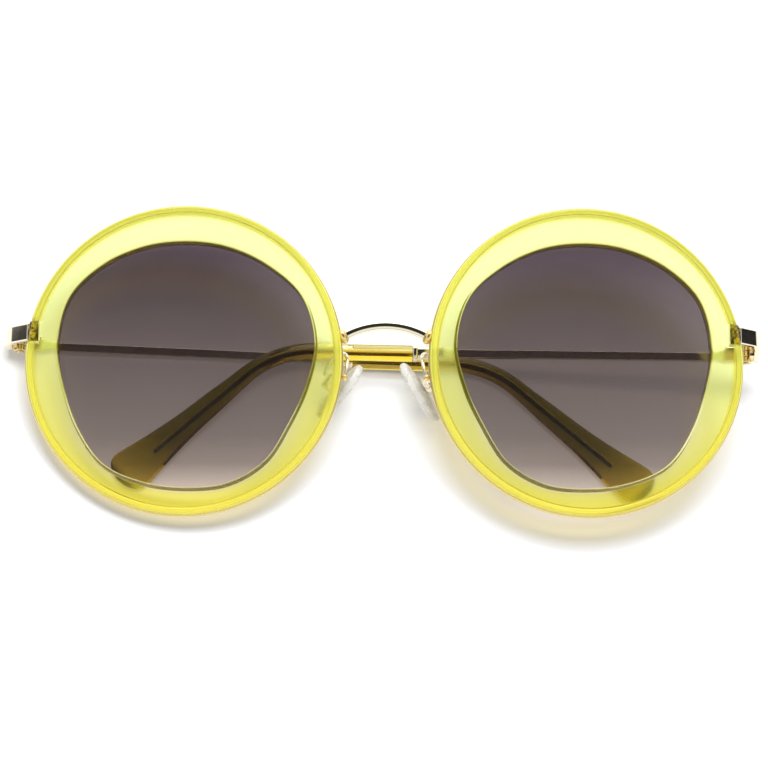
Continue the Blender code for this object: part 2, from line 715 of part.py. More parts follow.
def make_arm(side, parent):
    """The flat arm, its butt against the end piece, and its core wire inside the sleeve."""
    butt = rounded_outline(ARM_BUTT_THICKNESS, ARM_BUTT_HEIGHT, ARM_ROUND)
    bar = rounded_outline(ARM_THICKNESS, ARM_HEIGHT, ARM_ROUND)
    core = circle_points(CORE_DIAMETER / 2, CORE_SIDES, turn=pi / CORE_SIDES)
    neck = FERRULE_START + FERRULE_LENGTH
    core_end = TEMPLE_LENGTH - CORE_END_SHORT
    rows = [(ARM_BUTT_GAP, butt), (ARM_TAPER_START, butt), (ARM_TAPER_END, bar)]
    rows += [(ARM_TAPER_END + (FERRULE_START - ARM_TAPER_END) * k / ARM_STEPS, bar)
             for k in range(1, ARM_STEPS)]
    rows += [(neck - COLLAR_LENGTH, bar), (neck + COLLAR_LENGTH, core)]
    rows += [(SLEEVE_START + (core_end - SLEEVE_START) * k / CORE_STEPS, core)
             for k in range(1, CORE_STEPS + 1)]
    rings = [temple_ring(side, along, outline) for along, outline in rows]
    name = SIDES[side] + "_temple_arm"
    return add_piece(name, mesh_from_rings(name, rings), gold("arm_metal"), parent)


def make_ferrule(side, parent):
    """A tube round the arm with a wider collar where the sleeve starts."""
    bore_width = max(ARM_THICKNESS, CORE_DIAMETER) + 2 * FERRULE_CLEARANCE
    bore_height = max(ARM_HEIGHT, CORE_DIAMETER) + 2 * FERRULE_CLEARANCE
    bore = oval_outline(bore_width, bore_height, FERRULE_SIDES, FERRULE_BORE_SQUARENESS)
    tube = oval_outline(FERRULE_THICKNESS, FERRULE_HEIGHT, FERRULE_SIDES, FERRULE_SQUARENESS)
    collar = oval_outline(COLLAR_THICKNESS, COLLAR_HEIGHT, FERRULE_SIDES, FERRULE_SQUARENESS)
    neck = FERRULE_START + FERRULE_LENGTH
    end = neck + COLLAR_LENGTH
    rows = [(FERRULE_START, bore), (FERRULE_START, tube), (neck, tube), (neck, collar),
            (end, collar), (end, bore), (neck, bore)]
    rings = [temple_ring(side, along, outline) for along, outline in rows]
    name = SIDES[side] + "_temple_ferrule"
    return add_piece(name, mesh_from_rings(name, rings, closed=True), gold("ferrule_metal"), parent)


def make_sleeve(side, parent):
    """A clear sleeve, slim at the ferrule and widening past the bend into a rounded paddle."""
    length = TEMPLE_LENGTH - SLEEVE_START
    outer = []
    for k in range(SLEEVE_STEPS + 1):
        along = SLEEVE_START + (length - SLEEVE_END_ROUND) * k / SLEEVE_STEPS
        outer.append((along, 1.0))
    for k in range(1, SLEEVE_END_STEPS + 1):
        turn = pi / 2 * k / (SLEEVE_END_STEPS + SLEEVE_END_FLAT_SHARE)
        outer.append((TEMPLE_LENGTH - SLEEVE_END_ROUND * (1 - sin(turn)), cos(turn)))
    rings = []
    for along, shrink in outer:
        wide = share_between(SLEEVE_WIDENING_SHARES, (along - SLEEVE_START) / length)
        height = SLEEVE_START_HEIGHT + (SLEEVE_PADDLE_HEIGHT - SLEEVE_START_HEIGHT) * wide
        thick = SLEEVE_START_THICKNESS + (SLEEVE_PADDLE_THICKNESS - SLEEVE_START_THICKNESS) * wide
        outline = oval_outline(thick * shrink, height * shrink, SLEEVE_SIDES, SLEEVE_SQUARENESS)
        rings.append(temple_ring(side, along, outline))
    bore = []
    bore_end = TEMPLE_LENGTH - CORE_END_SHORT + CORE_CLEARANCE
    bore_outline = circle_points(CORE_DIAMETER / 2 + CORE_CLEARANCE, SLEEVE_SIDES, turn=pi / SLEEVE_SIDES)
    for k in range(CORE_STEPS + 1):
        along = SLEEVE_START + (bore_end - SLEEVE_START) * k / CORE_STEPS
        bore.append(temple_ring(side, along, bore_outline))
    name = SIDES[side] + "_temple_sleeve"
    mat = finish("clear_amber_plastic", (0.62, 0.42, 0.05), 0.15, clear=0.6)
    return add_piece(name, mesh_from_rings(name, bore[::-1] + rings), mat, parent)


# Bridge

def make_bridge(parent):
    """An arched bar whose ends are cut to sit against both rims."""
    foot = RING_SPACING / 2 - sqrt(RIM_OUTER_RADIUS ** 2 - BRIDGE_FOOT_HEIGHT ** 2)
    half_span = foot + RIM_PROUD
    radius = (half_span ** 2 + BRIDGE_RISE ** 2) / (2 * BRIDGE_RISE)
    reach = asin(half_span / radius)
    nasal = RING_SPACING / 2 - foot
    depth = RIM_MIDDLE - nasal * sin(radians(FACE_WRAP_DEG))
    rings = []
    for k in range(BRIDGE_STEPS + 1):
        turn = reach * (2 * k / BRIDGE_STEPS - 1)
        centre = Vector((radius * sin(turn), depth,
                         BRIDGE_FOOT_HEIGHT + BRIDGE_RISE - radius * (1 - cos(turn))))
        up = Vector((sin(turn), 0, cos(turn)))
        flare = 1 + (BRIDGE_FLARE_SHARE - 1) * (turn / reach) ** BRIDGE_FLARE_POWER
        outline = oval_outline(BRIDGE_THICKNESS * flare, BRIDGE_HEIGHT * flare, BRIDGE_SIDES)
        rings.append(section(centre, Vector((0, 1, 0)), up, outline))
    bridge = add_piece("bridge", mesh_from_rings("bridge", rings), gold("bridge_metal"), parent)
    seat = (RIM_OUTER_RADIUS + SOLDER_GAP) / cos(pi / BRIDGE_SEAT_SIDES)
    for side, label in SIDES.items():
        drum = turned_mesh(label + "_bridge_seat", [(seat, -INSERT_RADIUS), (seat, INSERT_RADIUS)],
                           BRIDGE_SEAT_SIDES)
        place = ring_place(side) @ Matrix.Rotation(pi / 2, 4, "X")
        cut(bridge, add_piece(label + "_bridge_seat", drum, bridge.data.materials[0], parent, place))
    return bridge


# Nose pads

def pad_place(side):
    """Pad frame: x down the pad, y across it towards the front, z out from the nose."""
    frontal = radians(PAD_FRONTAL_DEG[side])
    splay = radians(PAD_SPLAY_DEG)
    down = Vector((side * sin(frontal), 0, -cos(frontal)))
    forward = Vector((-side * sin(splay), -cos(splay), 0))
    forward = (forward - down * forward.dot(down)).normalized()
    out = down.cross(forward)
    if out.x * side < 0:
        out = out * -1
    turn = Matrix((down, out.cross(down), out)).transposed().to_4x4()
    across = RING_SPACING / 2 - RIM_OUTER_RADIUS - PAD_INSET[side]
    return Matrix.Translation((side * across, PAD_DEPTH, -PAD_DROP)) @ turn


def make_pad(side, parent):
    """A soft pad, flat where it meets the nose and domed behind, with a stem for its box."""
    half = [Vector((a * PAD_LENGTH / 2, b * PAD_WIDTH / 2, 0)) for a, b in PAD_OUTLINE_SHARES]
    outline = half + [Vector((p.x, -p.y, 0)) for p in reversed(half[1:-1])]
    inset = PAD_EDGE_ROUND
    widest = PAD_WIDTH / 2
    rows = [(1 - inset / widest, -PAD_THICKNESS), (1.0, inset - PAD_THICKNESS),
            (1.0, -PAD_THICKNESS / 2), (1 - inset / widest, -inset / 2), (PAD_DOME_SHARE, 0.0)]
    rings = [[Vector((p.x * share, p.y * share, height)) for p in outline] for share, height in rows]
    label = SIDES[side]
    mat = finish("clear_silicone", (0.86, 0.84, 0.78), 0.2, clear=0.8)
    pad = add_piece(label + "_nose_pad", mesh_from_rings("pad", rings), mat, parent)
    root = PAD_EDGE_ROUND
    stem = box_mesh("stem", (-PAD_STEM_LENGTH / 2, -PAD_STEM_WIDTH / 2, -root),
                    (PAD_STEM_LENGTH / 2, PAD_STEM_WIDTH / 2, PAD_BOX_STANDOFF + PAD_STEM_HEIGHT))
    cut(pad, add_piece(label + "_pad_stem", stem, mat, parent), "UNION")
    return cut(pad, pad_drill(label + "_stem_drill", mat, parent))


def pad_drill(name, mat, parent):
    """The cross hole that the pad screw passes through."""
    radius = PAD_SCREW_DIAMETER / 2 + SCREW_CLEARANCE
    drill = turned_mesh(name, [(radius, -PAD_WIDTH / 2), (radius, PAD_WIDTH / 2)], SMALL_SIDES)
    return add_piece(name, drill, mat, parent, pad_screw_place())


def pad_screw_place():
    height = PAD_BOX_STANDOFF + PAD_STEM_HEIGHT / 2
    return Matrix.Translation((0, 0, height)) @ Matrix.Rotation(pi / 2, 4, "X")


def pad_box_size():
    """Half length, half width and height of the box round the stem."""
    room = PAD_BOX_CLEARANCE + PAD_BOX_WALL
    return (PAD_STEM_LENGTH / 2 + room, PAD_STEM_WIDTH / 2 + room, PAD_STEM_HEIGHT + room)


def make_pad_box(side, parent):
    label = SIDES[side]
    mat = gold("pad_box_metal")
    long, wide, tall = pad_box_size()
    box = add_piece(label + "_pad_box", box_mesh(
        "box", (-long, -wide, PAD_BOX_STANDOFF), (long, wide, PAD_BOX_STANDOFF + tall)), mat, parent)
    inner_long = long - PAD_BOX_WALL
    inner_wide = wide - PAD_BOX_WALL
    hollow = box_mesh("hollow", (-inner_long, -inner_wide, PAD_BOX_STANDOFF - CUT_OVERRUN),
                      (inner_long, inner_wide, PAD_BOX_STANDOFF + tall - PAD_BOX_WALL))
    cut(box, add_piece(label + "_box_hollow", hollow, mat, parent))
    cut(box, pad_drill(label + "_box_drill", mat, parent))
    shank = PAD_SCREW_DIAMETER / 2
    head = PAD_SCREW_HEAD_DIAMETER / 2
    seat = wide + SOLDER_GAP
    outline = [(shank, -seat), (shank, seat), (head, seat), (head, seat + PAD_SCREW_HEAD_HEIGHT)]
    screw = turned_mesh(label + "_pad_screw", outline, SMALL_SIDES)
    add_piece(label + "_pad_screw", screw, gold("screw_metal"), parent, pad_screw_place())
    return box


def make_pad_arm(side, parent):
    """A wire looped up from the rim's nasal edge and down to the pad box."""
    clear = PAD_ARM_DIAMETER / 2 + SOLDER_GAP
    foot_radius = RIM_OUTER_RADIUS + clear
    foot_height = -PAD_ARM_FOOT_DROP
    across = -sqrt(foot_radius ** 2 - foot_height ** 2)
    foot = ring_place(side) @ Vector((side * across, RIM_MIDDLE, foot_height))
    top = PAD_BOX_STANDOFF + pad_box_size()[2] + clear
    seat = pad_place(side) @ Vector((0, 0, top))
    rise = Vector((0, 0, PAD_ARM_LOOP_RISE))
    inset = Vector((-side * PAD_ARM_LOOP_INSET, 0, 0))
    route = [foot.lerp(seat, way) + rise * up + inset * inward
             for way, up, inward in PAD_ARM_ROUTE_SHARES]
    points = smooth_points(route, 3)
    outline = circle_points(PAD_ARM_DIAMETER / 2, 8)
    rings = []
    for k, point in enumerate(points):
        along = (points[min(k + 1, len(points) - 1)] - points[max(k - 1, 0)]).normalized()
        out = along.cross(Vector((1, 0, 0))).normalized()
        rings.append(section(point, out, along.cross(out), outline))
    name = SIDES[side] + "_pad_arm"
    return add_piece(name, mesh_from_rings(name, rings), gold("wire_metal"), parent)


# The whole, laid on the table

def lay_down(front):
    """Tips the front on its back and sets the whole on the table with its middle over the origin."""
    tilt = Matrix.Rotation(radians(TABLE_ROLL_DEG), 4, "Y") @ Matrix.Rotation(
        radians(TABLE_TILT_DEG - 90), 4, "X")
    front.matrix_local = tilt
    bpy.context.view_layer.update()
    graph = bpy.context.evaluated_depsgraph_get()
    corners = []
    for piece in bpy.data.objects:
        if piece.type == "MESH" and not piece.hide_render:
            shown = piece.evaluated_get(graph)
            place = shown.matrix_world.copy()
            corners += [place @ v.co for v in shown.data.vertices]
    low = [min(c[i] for c in corners) for i in range(3)]
    high = [max(c[i] for c in corners) for i in range(3)]
    shift = Vector((-(low[0] + high[0]) / 2, -(low[1] + high[1]) / 2, -low[2]))
    front.matrix_local = Matrix.Translation(shift) @ tilt
    bpy.context.view_layer.update()


def make_side(side, front):
    label = SIDES[side]
    ring = add_empty(label + "_ring_frame", front, ring_place(side))
    pad = add_empty(label + "_pad_frame", front, pad_place(side))
    front_hinge = add_empty(label + "_hinge_frame", front, hinge_place(side, open_direction()))
    temple = add_empty(label + "_temple_pivot", front, hinge_place(side, folded_direction(side)))
    make_insert(side, ring)
    make_lens(side, ring)
    make_rim(side, ring)
    make_lock(side, ring)
    make_end_piece(side, front)
    make_hinge(side, front_hinge, temple)
    make_arm(side, temple)
    make_ferrule(side, temple)
    make_sleeve(side, temple)
    make_pad(side, pad)
    make_pad_box(side, pad)
    make_pad_arm(side, front)
    return temple


def main():
    clear_scene()
    front = add_empty("front_frame")
    temples = {side: make_side(side, front) for side in SIDES}
    make_bridge(front)
    lay_down(front)
    for side, temple in temples.items():
        place = temple.matrix_world
        axis = place.to_3x3() @ Vector((0, 0, -side))
        print(SIDES[side], "hinge at", [round(c, 6) for c in place.translation],
              "axis", [round(c, 6) for c in axis], "opens", round(degrees(opening_angle(side)), 2))


main()
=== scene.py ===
"""Finished look of the folded round sunglasses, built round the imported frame.

Left and right are the wearer's. The front is worked out upright in its own frame, with x to the
wearer's left, y going back towards the face and z up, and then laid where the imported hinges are.
"""
import json
from math import asin, atan2, cos, pi, radians, sin, sqrt, tan

import bmesh
import bpy
import numpy as np
from bpy.props import FloatProperty, FloatVectorProperty, PointerProperty
from mathutils import Matrix, Vector


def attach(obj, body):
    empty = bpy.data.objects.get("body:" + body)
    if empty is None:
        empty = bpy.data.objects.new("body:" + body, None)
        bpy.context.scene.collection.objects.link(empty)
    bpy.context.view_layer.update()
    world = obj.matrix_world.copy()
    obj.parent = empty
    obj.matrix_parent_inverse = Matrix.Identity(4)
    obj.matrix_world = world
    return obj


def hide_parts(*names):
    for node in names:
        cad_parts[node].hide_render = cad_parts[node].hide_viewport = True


bl_info = {
    "name": "Round Sunglasses",
    "version": (1, 0, 0),
    "blender": (4, 5, 0),
    "location": "3D View > Sidebar > Sunglasses",
    "description": "Builds the finished pieces of folded round sunglasses round their packed frame",
    "category": "Object",
}

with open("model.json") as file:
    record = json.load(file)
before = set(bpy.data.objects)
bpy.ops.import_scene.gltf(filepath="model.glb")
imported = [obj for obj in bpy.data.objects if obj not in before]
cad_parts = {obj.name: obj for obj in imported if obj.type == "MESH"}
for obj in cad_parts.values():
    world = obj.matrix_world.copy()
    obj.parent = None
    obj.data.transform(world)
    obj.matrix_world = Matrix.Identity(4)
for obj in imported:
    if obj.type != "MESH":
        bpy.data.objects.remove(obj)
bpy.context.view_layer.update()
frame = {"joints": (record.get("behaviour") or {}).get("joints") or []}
JOINTS = {joint["name"]: joint for joint in frame["joints"]}
SIDES = {1: "left", -1: "right"}

# Opening outline from the temple side over the top, as shares of half its width and height
OPENING_SHARES = [
    (1.0, 0.17), (0.915, 0.545), (0.66, 0.81), (0.335, 0.96), (0.0, 1.0), (-0.33, 0.95),
    (-0.64, 0.795), (-0.90, 0.54), (-1.0, 0.17), (-0.93, -0.19), (-0.795, -0.50), (-0.615, -0.79),
    (-0.33, -0.965), (0.0, -1.0), (0.325, -0.955), (0.63, -0.81), (0.83, -0.525), (0.945, -0.19),
]
# How far the sleeve has widened into its paddle, at shares of its length
SLEEVE_SHARES = [(0.0, 0.0), (0.45, -0.02), (0.63, 0.19), (0.735, 0.33), (0.80, 0.49),
                 (0.855, 0.66), (0.91, 0.88), (0.95, 1.0), (1.0, 1.0)]
# Pad outline, narrow at the top, as shares of half its length and width
PAD_SHARES = [
    (1.0, 0.0), (0.95, 0.42), (0.80, 0.74), (0.55, 0.95), (0.22, 1.0), (-0.15, 0.96), (-0.50, 0.84),
    (-0.78, 0.62), (-0.95, 0.33), (-1.0, 0.0),
]
# Route of the pad arm: share of the way, share of the loop's rise, share of its inset
PAD_ARM_SHARES = [(0.0, 0.0, 0.0), (0.08, 0.42, 0.55), (0.26, 0.85, 1.0), (0.48, 1.0, 0.85),
                  (0.70, 0.85, 0.40), (0.88, 0.48, 0.10), (1.0, 0.10, 0.0)]

# Sizes that a user wouldn't change.
# Ring inserts: place of the opening, groove beside the bead, lens groove, rounding and loop counts
OPENING_SHIFT = 0.00045
OPENING_DROP = 0.0009
GROOVE_WIDTH = 0.0003
GROOVE_DEPTH = 0.0002
EDGE_ROUND = 0.0004
LENS_SETBACK = 0.0029
LENS_GROOVE_WIDTH = 0.0011
LENS_GROOVE_DEPTH = 0.0006
ROUND_STEPS = 6
GROOVE_STEPS = 6
BEAD_STEPS = 12
BACK_ROUND_STEPS = 5
BACK_STEPS = 10
# Loops beside the edges: one down the wall as a share of its depth, and one beyond the groove as a
# share of the groove's width
WALL_LOOP = 0.6
GROOVE_LOOP = 1.8
# Where along the band the bead turns milky, how soon it clears at the block, and the heights
# between which the wall round the lens turns from its painted pale highlight to its painted brown
# reflection
MILK_START = 0.77
MILK_FADE = 0.05
BLOCK_FADE = 0.0006
WALL_PALE = -0.014
WALL_FADE = 0.008
PALE_LIP = 0.6
# Shares of the bead's width where its crown ends and where its edge starts to fall, and the
# power of that fall
CROWN_END = 0.8
FALL_START = 0.55
FALL_POWER = 2.2
# Lenses: clearance, half width of the flat on the bevel, share and steps of the dome's loops
LENS_ROOM = 0.00006
LENS_FLAT = 0.00003
LENS_POLE = 0.02
DOME_STEPS = 14
# Rims, with their corners as shares of their half sizes
RIM_SETBACK = 0.0010
RIM_PROUD = 0.00035
RIM_SEAT = 0.00055
RIM_ROOM = 0.00005
RIM_ROUND = 0.00045
RIM_CORNER = (0.95, 0.9)
RIM_STEPS = 220
# Closing blocks and their screws
BLOCK_WIDTH = 0.0020
BLOCK_DEPTH = 0.0020
BLOCK_TALL = 0.0038
BLOCK_SPLIT = 0.0001
BLOCK_OVERHANG = 0.0003
BLOCK_ROOM = 0.0001
BLOCK_SCREW = 0.0010
BLOCK_HEAD = 0.0015
BLOCK_SLOT = 0.00028
BLOCK_BEVEL = 0.00012
HEAD_TALL = 0.0005
# End pieces
END_HEIGHT = 0.0057
END_STUB = 0.0004
BAR_TALL = 0.0033
BAR_THICK = 0.0012
BAR_CORNER = 0.00028
BAR_BEVEL = 0.00012
BAR_SLANT = radians(40.0)
BAR_BEND = 0.0030
BAR_BEND_STEPS = 14
# Temple hinges
HINGE_REACH = 0.0020
HINGE_DEPTH = 0.0102
HINGE_DROP = {1: 0.0022, -1: 0.0005}
KNUCKLE_RADIUS = 0.0012
KNUCKLE_TALL = 0.00115
KNUCKLE_GAP = 0.00005
KNUCKLE_ROOM = 0.0001
KNUCKLE_SOFT = 0.00012
HINGE_TALL = 3 * KNUCKLE_TALL + 2 * KNUCKLE_GAP
HINGE_SCREW = 0.0012
HINGE_HEAD = 0.0019
HINGE_SLOT = 0.0003
HINGE_SCREW_TAIL = 0.0003
SCREW_ROOM = 0.00008
# Height of a slot's floor as a share of the screw head's
SLOT_FLOOR = 0.45
PLATE_THICK = 0.0008
PLATE_TALL = 0.0026
FRONT_PLATE = 0.0033
TEMPLE_PLATE = 0.0042
# Gap that stands for a brazed seam
SEAM = 0.00005
# Temples: lines of the arm, (half sizes, corners) of sections, ferrules and core wires
BAR_INNER = KNUCKLE_RADIUS + KNUCKLE_ROOM
TEMPLE_LINE = BAR_INNER + BAR_THICK / 2
BUTT = ((0.00055, 0.00135), (0.0002, 0.0002))
TUBE = ((0.00105, 0.0013), (0.0007, 0.0008))
COLLAR = ((0.00125, 0.00155), (0.0008, 0.0009))
ARM_CORNER = 0.0002
ARM_BUTT = (0.00015, 0.0020)
ARM_TAPER = (0.0040, 0.0065)
CORE_TAPER = 0.001
FERRULE_LONG = 0.005
FERRULE_ROOM = 0.00008
FERRULE_SPARE = 0.0001
BORE_CORNER = 0.00022
FERRULE_SOFT = 0.00015
COLLAR_LONG = 0.001
CORE = 0.0011
SLEEVE_SOFT = 0.0002
# Corners of the sleeve's section as shares of its half sizes
SLEEVE_ROUNDING = (0.92, 0.80)
# Where the middle loop of a rounded end lies, as a share of the rounding
TIP_SHARE = 0.3
# Steps along the arm, the core wire, the sleeve and its rounded tip
TAPER_STEPS = 10
BAR_STEPS = 12
THINNING_STEPS = 4
CORE_STEPS = 60
SLEEVE_STEPS = 120
TIP_STEPS = 24
# Taken off the rims and the sleeves, whose round sections would otherwise pass the CAD's facets
SHAVE = 0.00004
# The sleeve's bore is this much smaller than the core wire, so no air shows between them
MOULDED_IN = 0.00001
# Bridge: how far its ends sink into their solder, corner as a share of its half height, flare of
# its ends with the flare's power, and steps of the bar and of the solder
BRIDGE_SINK = 0.00012
BRIDGE_BEVEL = 0.00005
BRIDGE_CORNER = 0.92
BRIDGE_FLARE = 0.10
FLARE_POWER = 10
BRIDGE_STEPS = 80
SOLDER_STEPS = 16
# Its solder as shares of the half bridge: start past the end, and length; and shares of the bar at
# its thin end and of its size in height
SOLDER_PAST = 0.03
SOLDER_LONG = 0.165
SOLDER_THIN = 0.9
SOLDER_TALL = 1.12
# Nose pads, their stems, boxes, screws and wires
PAD_SOFT = 0.0007
PAD_FACE = 0.0004
PAD_CENTRE = 0.93
PAD_ROUND_STEPS = 7
PAD_FACE_STEPS = 6
STEM_LONG = 0.0018
STEM_WIDE = 0.0010
STEM_TALL = 0.0016
STEM_BEVEL = 0.00012
BOX_WALL = 0.0004
BOX_ROOM = 0.0001
BOX_STANDOFF = 0.0002
PAD_SCREW = 0.0007
PAD_HEAD = 0.0012
PAD_HEAD_TALL = 0.0004
PAD_SLOT = 0.00022
PAD_WIRE = 0.00075
WIRE_BEVEL = 0.00008
PAD_SOLDER = (0.00062, 0.0006)
# How far cutters reach past what they cut, the closing blocks' drills past the blocks, and their
# round outline to both sides
CUT_PAST = 0.002
DRILL_PAST = 0.001
OUTLINE_REACH = 0.01
# Bevel of plain ends, and the angles past which an edge is shaded sharp or is rounded
END_BEVEL = 0.0001
SHARP_EDGE = radians(38)
FIRM_EDGE = radians(50)
SOFT_EDGE = radians(60)
SOLDER_EDGE = radians(70)
BEVEL_ANGLE = radians(40)

# Tints, tinges and roughnesses that go with the colours below, some of them painted light or shade
RING_SHADOW = (0.77, 0.71, 0.47)
BEAD_SHADOW = (0.56, 0.50, 0.28)
LENS_SHADOW = (1.0, 0.98, 0.94)
SLEEVE_SHADOW = (0.60, 0.50, 0.20)
PAD_SHADOW = (0.90, 0.90, 0.88)
# Painted highlight on the lower wall round the lens
WALL_PAINTED_HIGHLIGHT = (1.0, 1.0, 0.88)
LENS_COAT = (0.80, 0.86, 1.0)
# Painted shade in the pads' creases
PAD_CREASE_SHADE = (0.42, 0.41, 0.38)
WORN_TINGE = (0.90, 0.84, 0.72)
# Painted shade: the bead turns deeper and warmer lower down
BEAD_LOW_SHADE = (1.0, 0.90, 0.75)
FLOW_TINGE = (0.95, 0.88, 0.68)
# Dark flecks of the closing blocks, painted reflections
FLECK_DARK_REFLECTION = (0.12, 0.12, 0.12)
PLATING_ROUGH = {"pale_gold_plating": 0.11, "rim_gold": 0.2, "hinge_gold": 0.14,
                 "screw_metal": 0.16, "brass_solder": 0.3}
# Values stored at each point of a ring insert
RING_VALUES = ("band", "frost", "milk", "wall", "pale")

# The photograph's camera, fitted in the front's own frame
CAMERA_AZIMUTH = radians(1.796)
CAMERA_ELEVATION = radians(12.153)
CAMERA_ROLL = radians(0.114)
CAMERA_TARGET = Vector((-0.00036, 0, -0.004864))
CAMERA_DISTANCE = 0.636467
CAMERA_LENS = 154.87
CAMERA_SENSOR = 36.0
# The stage: floor, lamp, and what metal mirrors, with directions and the angles of soft edges
FLOOR_HALF = 3
FLOOR_RISE = (0.2, 1.2)
LAMP_SIZE = (0.45, 0.30)
LAMP_POWER = 6.0
LAMP_SPOT = Vector((0.0, 0.06, 0.96))
CEILING_GAP = (-0.04, -0.03, 1.0)
CEILING_GAP_EDGE = (radians(34), radians(22))
SIDE_GAPS = ((-0.973, 0.154, 0.150), (0.950, 0.169, 0.261))
SIDE_GAP_EDGE = (radians(27), radians(12))
GAP_LIGHT = 0.03
HORIZON_GAP = (0.10, 0.30)
HORIZON_LIGHT = 0.45
SOFTBOX = (0.0, 0.86, 0.51)
SOFTBOX_EDGE = (radians(26), radians(16))
SOFTBOX_LIGHT = 2.5


# Sizes and colours that a user can change

def size(label, text, default, low=0.0):
    return FloatProperty(name=label, description=text, default=default, min=low, unit="LENGTH",
                         precision=5)


def turn(label, text, default):
    return FloatProperty(name=label, description=text, default=radians(default), unit="ROTATION",
                         subtype="ANGLE")


def tint(label, text, default):
    return FloatVectorProperty(name=label, description=text, default=default, size=3,
                               subtype="COLOR", min=0.0, max=1.0)


def share(label, text, default):
    return FloatProperty(name=label, description=text, default=default, min=0.0, max=4.0,
                         subtype="FACTOR")


class RingSizes(bpy.types.PropertyGroup):
    opening_width: size("Opening width", "Width of the lens opening", 0.0495)
    opening_height: size("Opening height", "Height of the lens opening", 0.0484)
    band: size("Band", "Least width of the clear ring round the opening", 0.0057)
    gap: size("Ring gap", "Space between the two rings", 0.0171)
    wrap: turn("Face wrap", "How far each ring turns back round the face", 2.8)
    thickness: size("Ring thickness", "Thickness of the clear ring", 0.0038)
    bead: size("Bead", "Width of the bead round the ring's edge", 0.0012)
    bead_proud: size("Bead height", "How far the bead stands out of the front face", 0.00015)
    lens: size("Lens thickness", "Thickness of the lens", 0.0016)
    dome: size("Lens dome", "Height of the lens's dome", 0.0015)
    rim: size("Rim width", "Width of the metal rim from front to back", 0.0011)


class BridgeSizes(bpy.types.PropertyGroup):
    tall: size("Bar height", "Height of the bridge bar", 0.0019)
    thick: size("Bar thickness", "Thickness of the bridge bar", 0.0015)
    foot: size("Foot height", "Height of its ends over the rings' middle line", 0.0042)
    rise: size("Rise", "Rise of the arch over its ends", 0.0025)
    blob: size("Solder", "Size of the solder at each end", 0.00130)


class TempleSizes(bpy.types.PropertyGroup):
    lean: turn("Pantoscopic tilt", "How far the open temples lean down", 7.0)
    away_left: turn("Left fold", "Angle of the folded left temple away from the front", 1.0)
    away_right: turn("Right fold", "Angle of the folded right temple away from the front", 4.5)
    drop_left: turn("Left drop", "How far the folded left temple drops", -0.7)
    drop_right: turn("Right drop", "How far the folded right temple drops", 1.3)
    arm_tall: size("Arm height", "Height of the flat arm", 0.0017)
    arm_thick: size("Arm thickness", "Thickness of the flat arm", 0.0009)
    ferrule: size("Ferrule place", "Distance from the hinge to the ferrule", 0.0595)
    length: size("Temple length", "Length along the temple to its tip", 0.1328)
    bend_at: size("Bend place", "Distance from the hinge to the ear bend", 0.0925)
    bend_radius: size("Bend radius", "Radius of the ear bend", 0.020)
    bend_left: turn("Left bend", "Angle of the left temple's ear bend", 43.6)
    bend_right: turn("Right bend", "Angle of the right temple's ear bend", 40.9)
    bow: size("Bow", "How far the tip bows in towards the head", 0.0040)
    bow_start: size("Bow start", "Where the bow starts", 0.050)
    core_short: size("Core end", "Length of the tip without core wire", 0.0090)
    sleeve_tall: size("Sleeve height", "Height of the sleeve at the ferrule", 0.0034)
    paddle_tall: size("Paddle height", "Height of the sleeve's paddle", 0.0088)
    sleeve_thick: size("Sleeve thickness", "Thickness of the sleeve at the ferrule", 0.0025)
    paddle_thick: size("Paddle thickness", "Thickness of the sleeve's paddle", 0.0028)
    tip: size("Tip rounding", "Length of the paddle's rounded end", 0.0032)


class PadSizes(bpy.types.PropertyGroup):
    length: size("Pad length", "Length of the nose pad", 0.0133)
    width: size("Pad width", "Width of the nose pad", 0.0070)
    thickness: size("Pad thickness", "Thickness of the nose pad", 0.0021)
    inset_left: size("Left pad inset", "How far the left pad's middle lies inside its rim",
                     0.00035, -0.01)
    inset_right: size("Right pad inset", "How far the right pad's middle lies inside its rim",
                      -0.00135, -0.01)
    depth: size("Pad depth", "How far the pad lies behind the front", 0.0082)
    drop: size("Pad drop", "How far the pad lies below the rings' middle line", 0.0040)
    frontal_left: turn("Left frontal angle", "Angle of the left pad seen from the front", 31.0)
    frontal_right: turn("Right frontal angle", "Angle of the right pad seen from the front", 37.0)
    splay: turn("Splay angle", "Angle of the pad seen from above", 24.0)
    foot_drop: size("Arm foot", "How far the arm's foot lies below the middle line", 0.0036)
    rise: size("Loop rise", "Rise of the arm's loop", 0.0050)
    loop_inset: size("Loop inset", "How far the loop swings towards the nose", 0.0014)


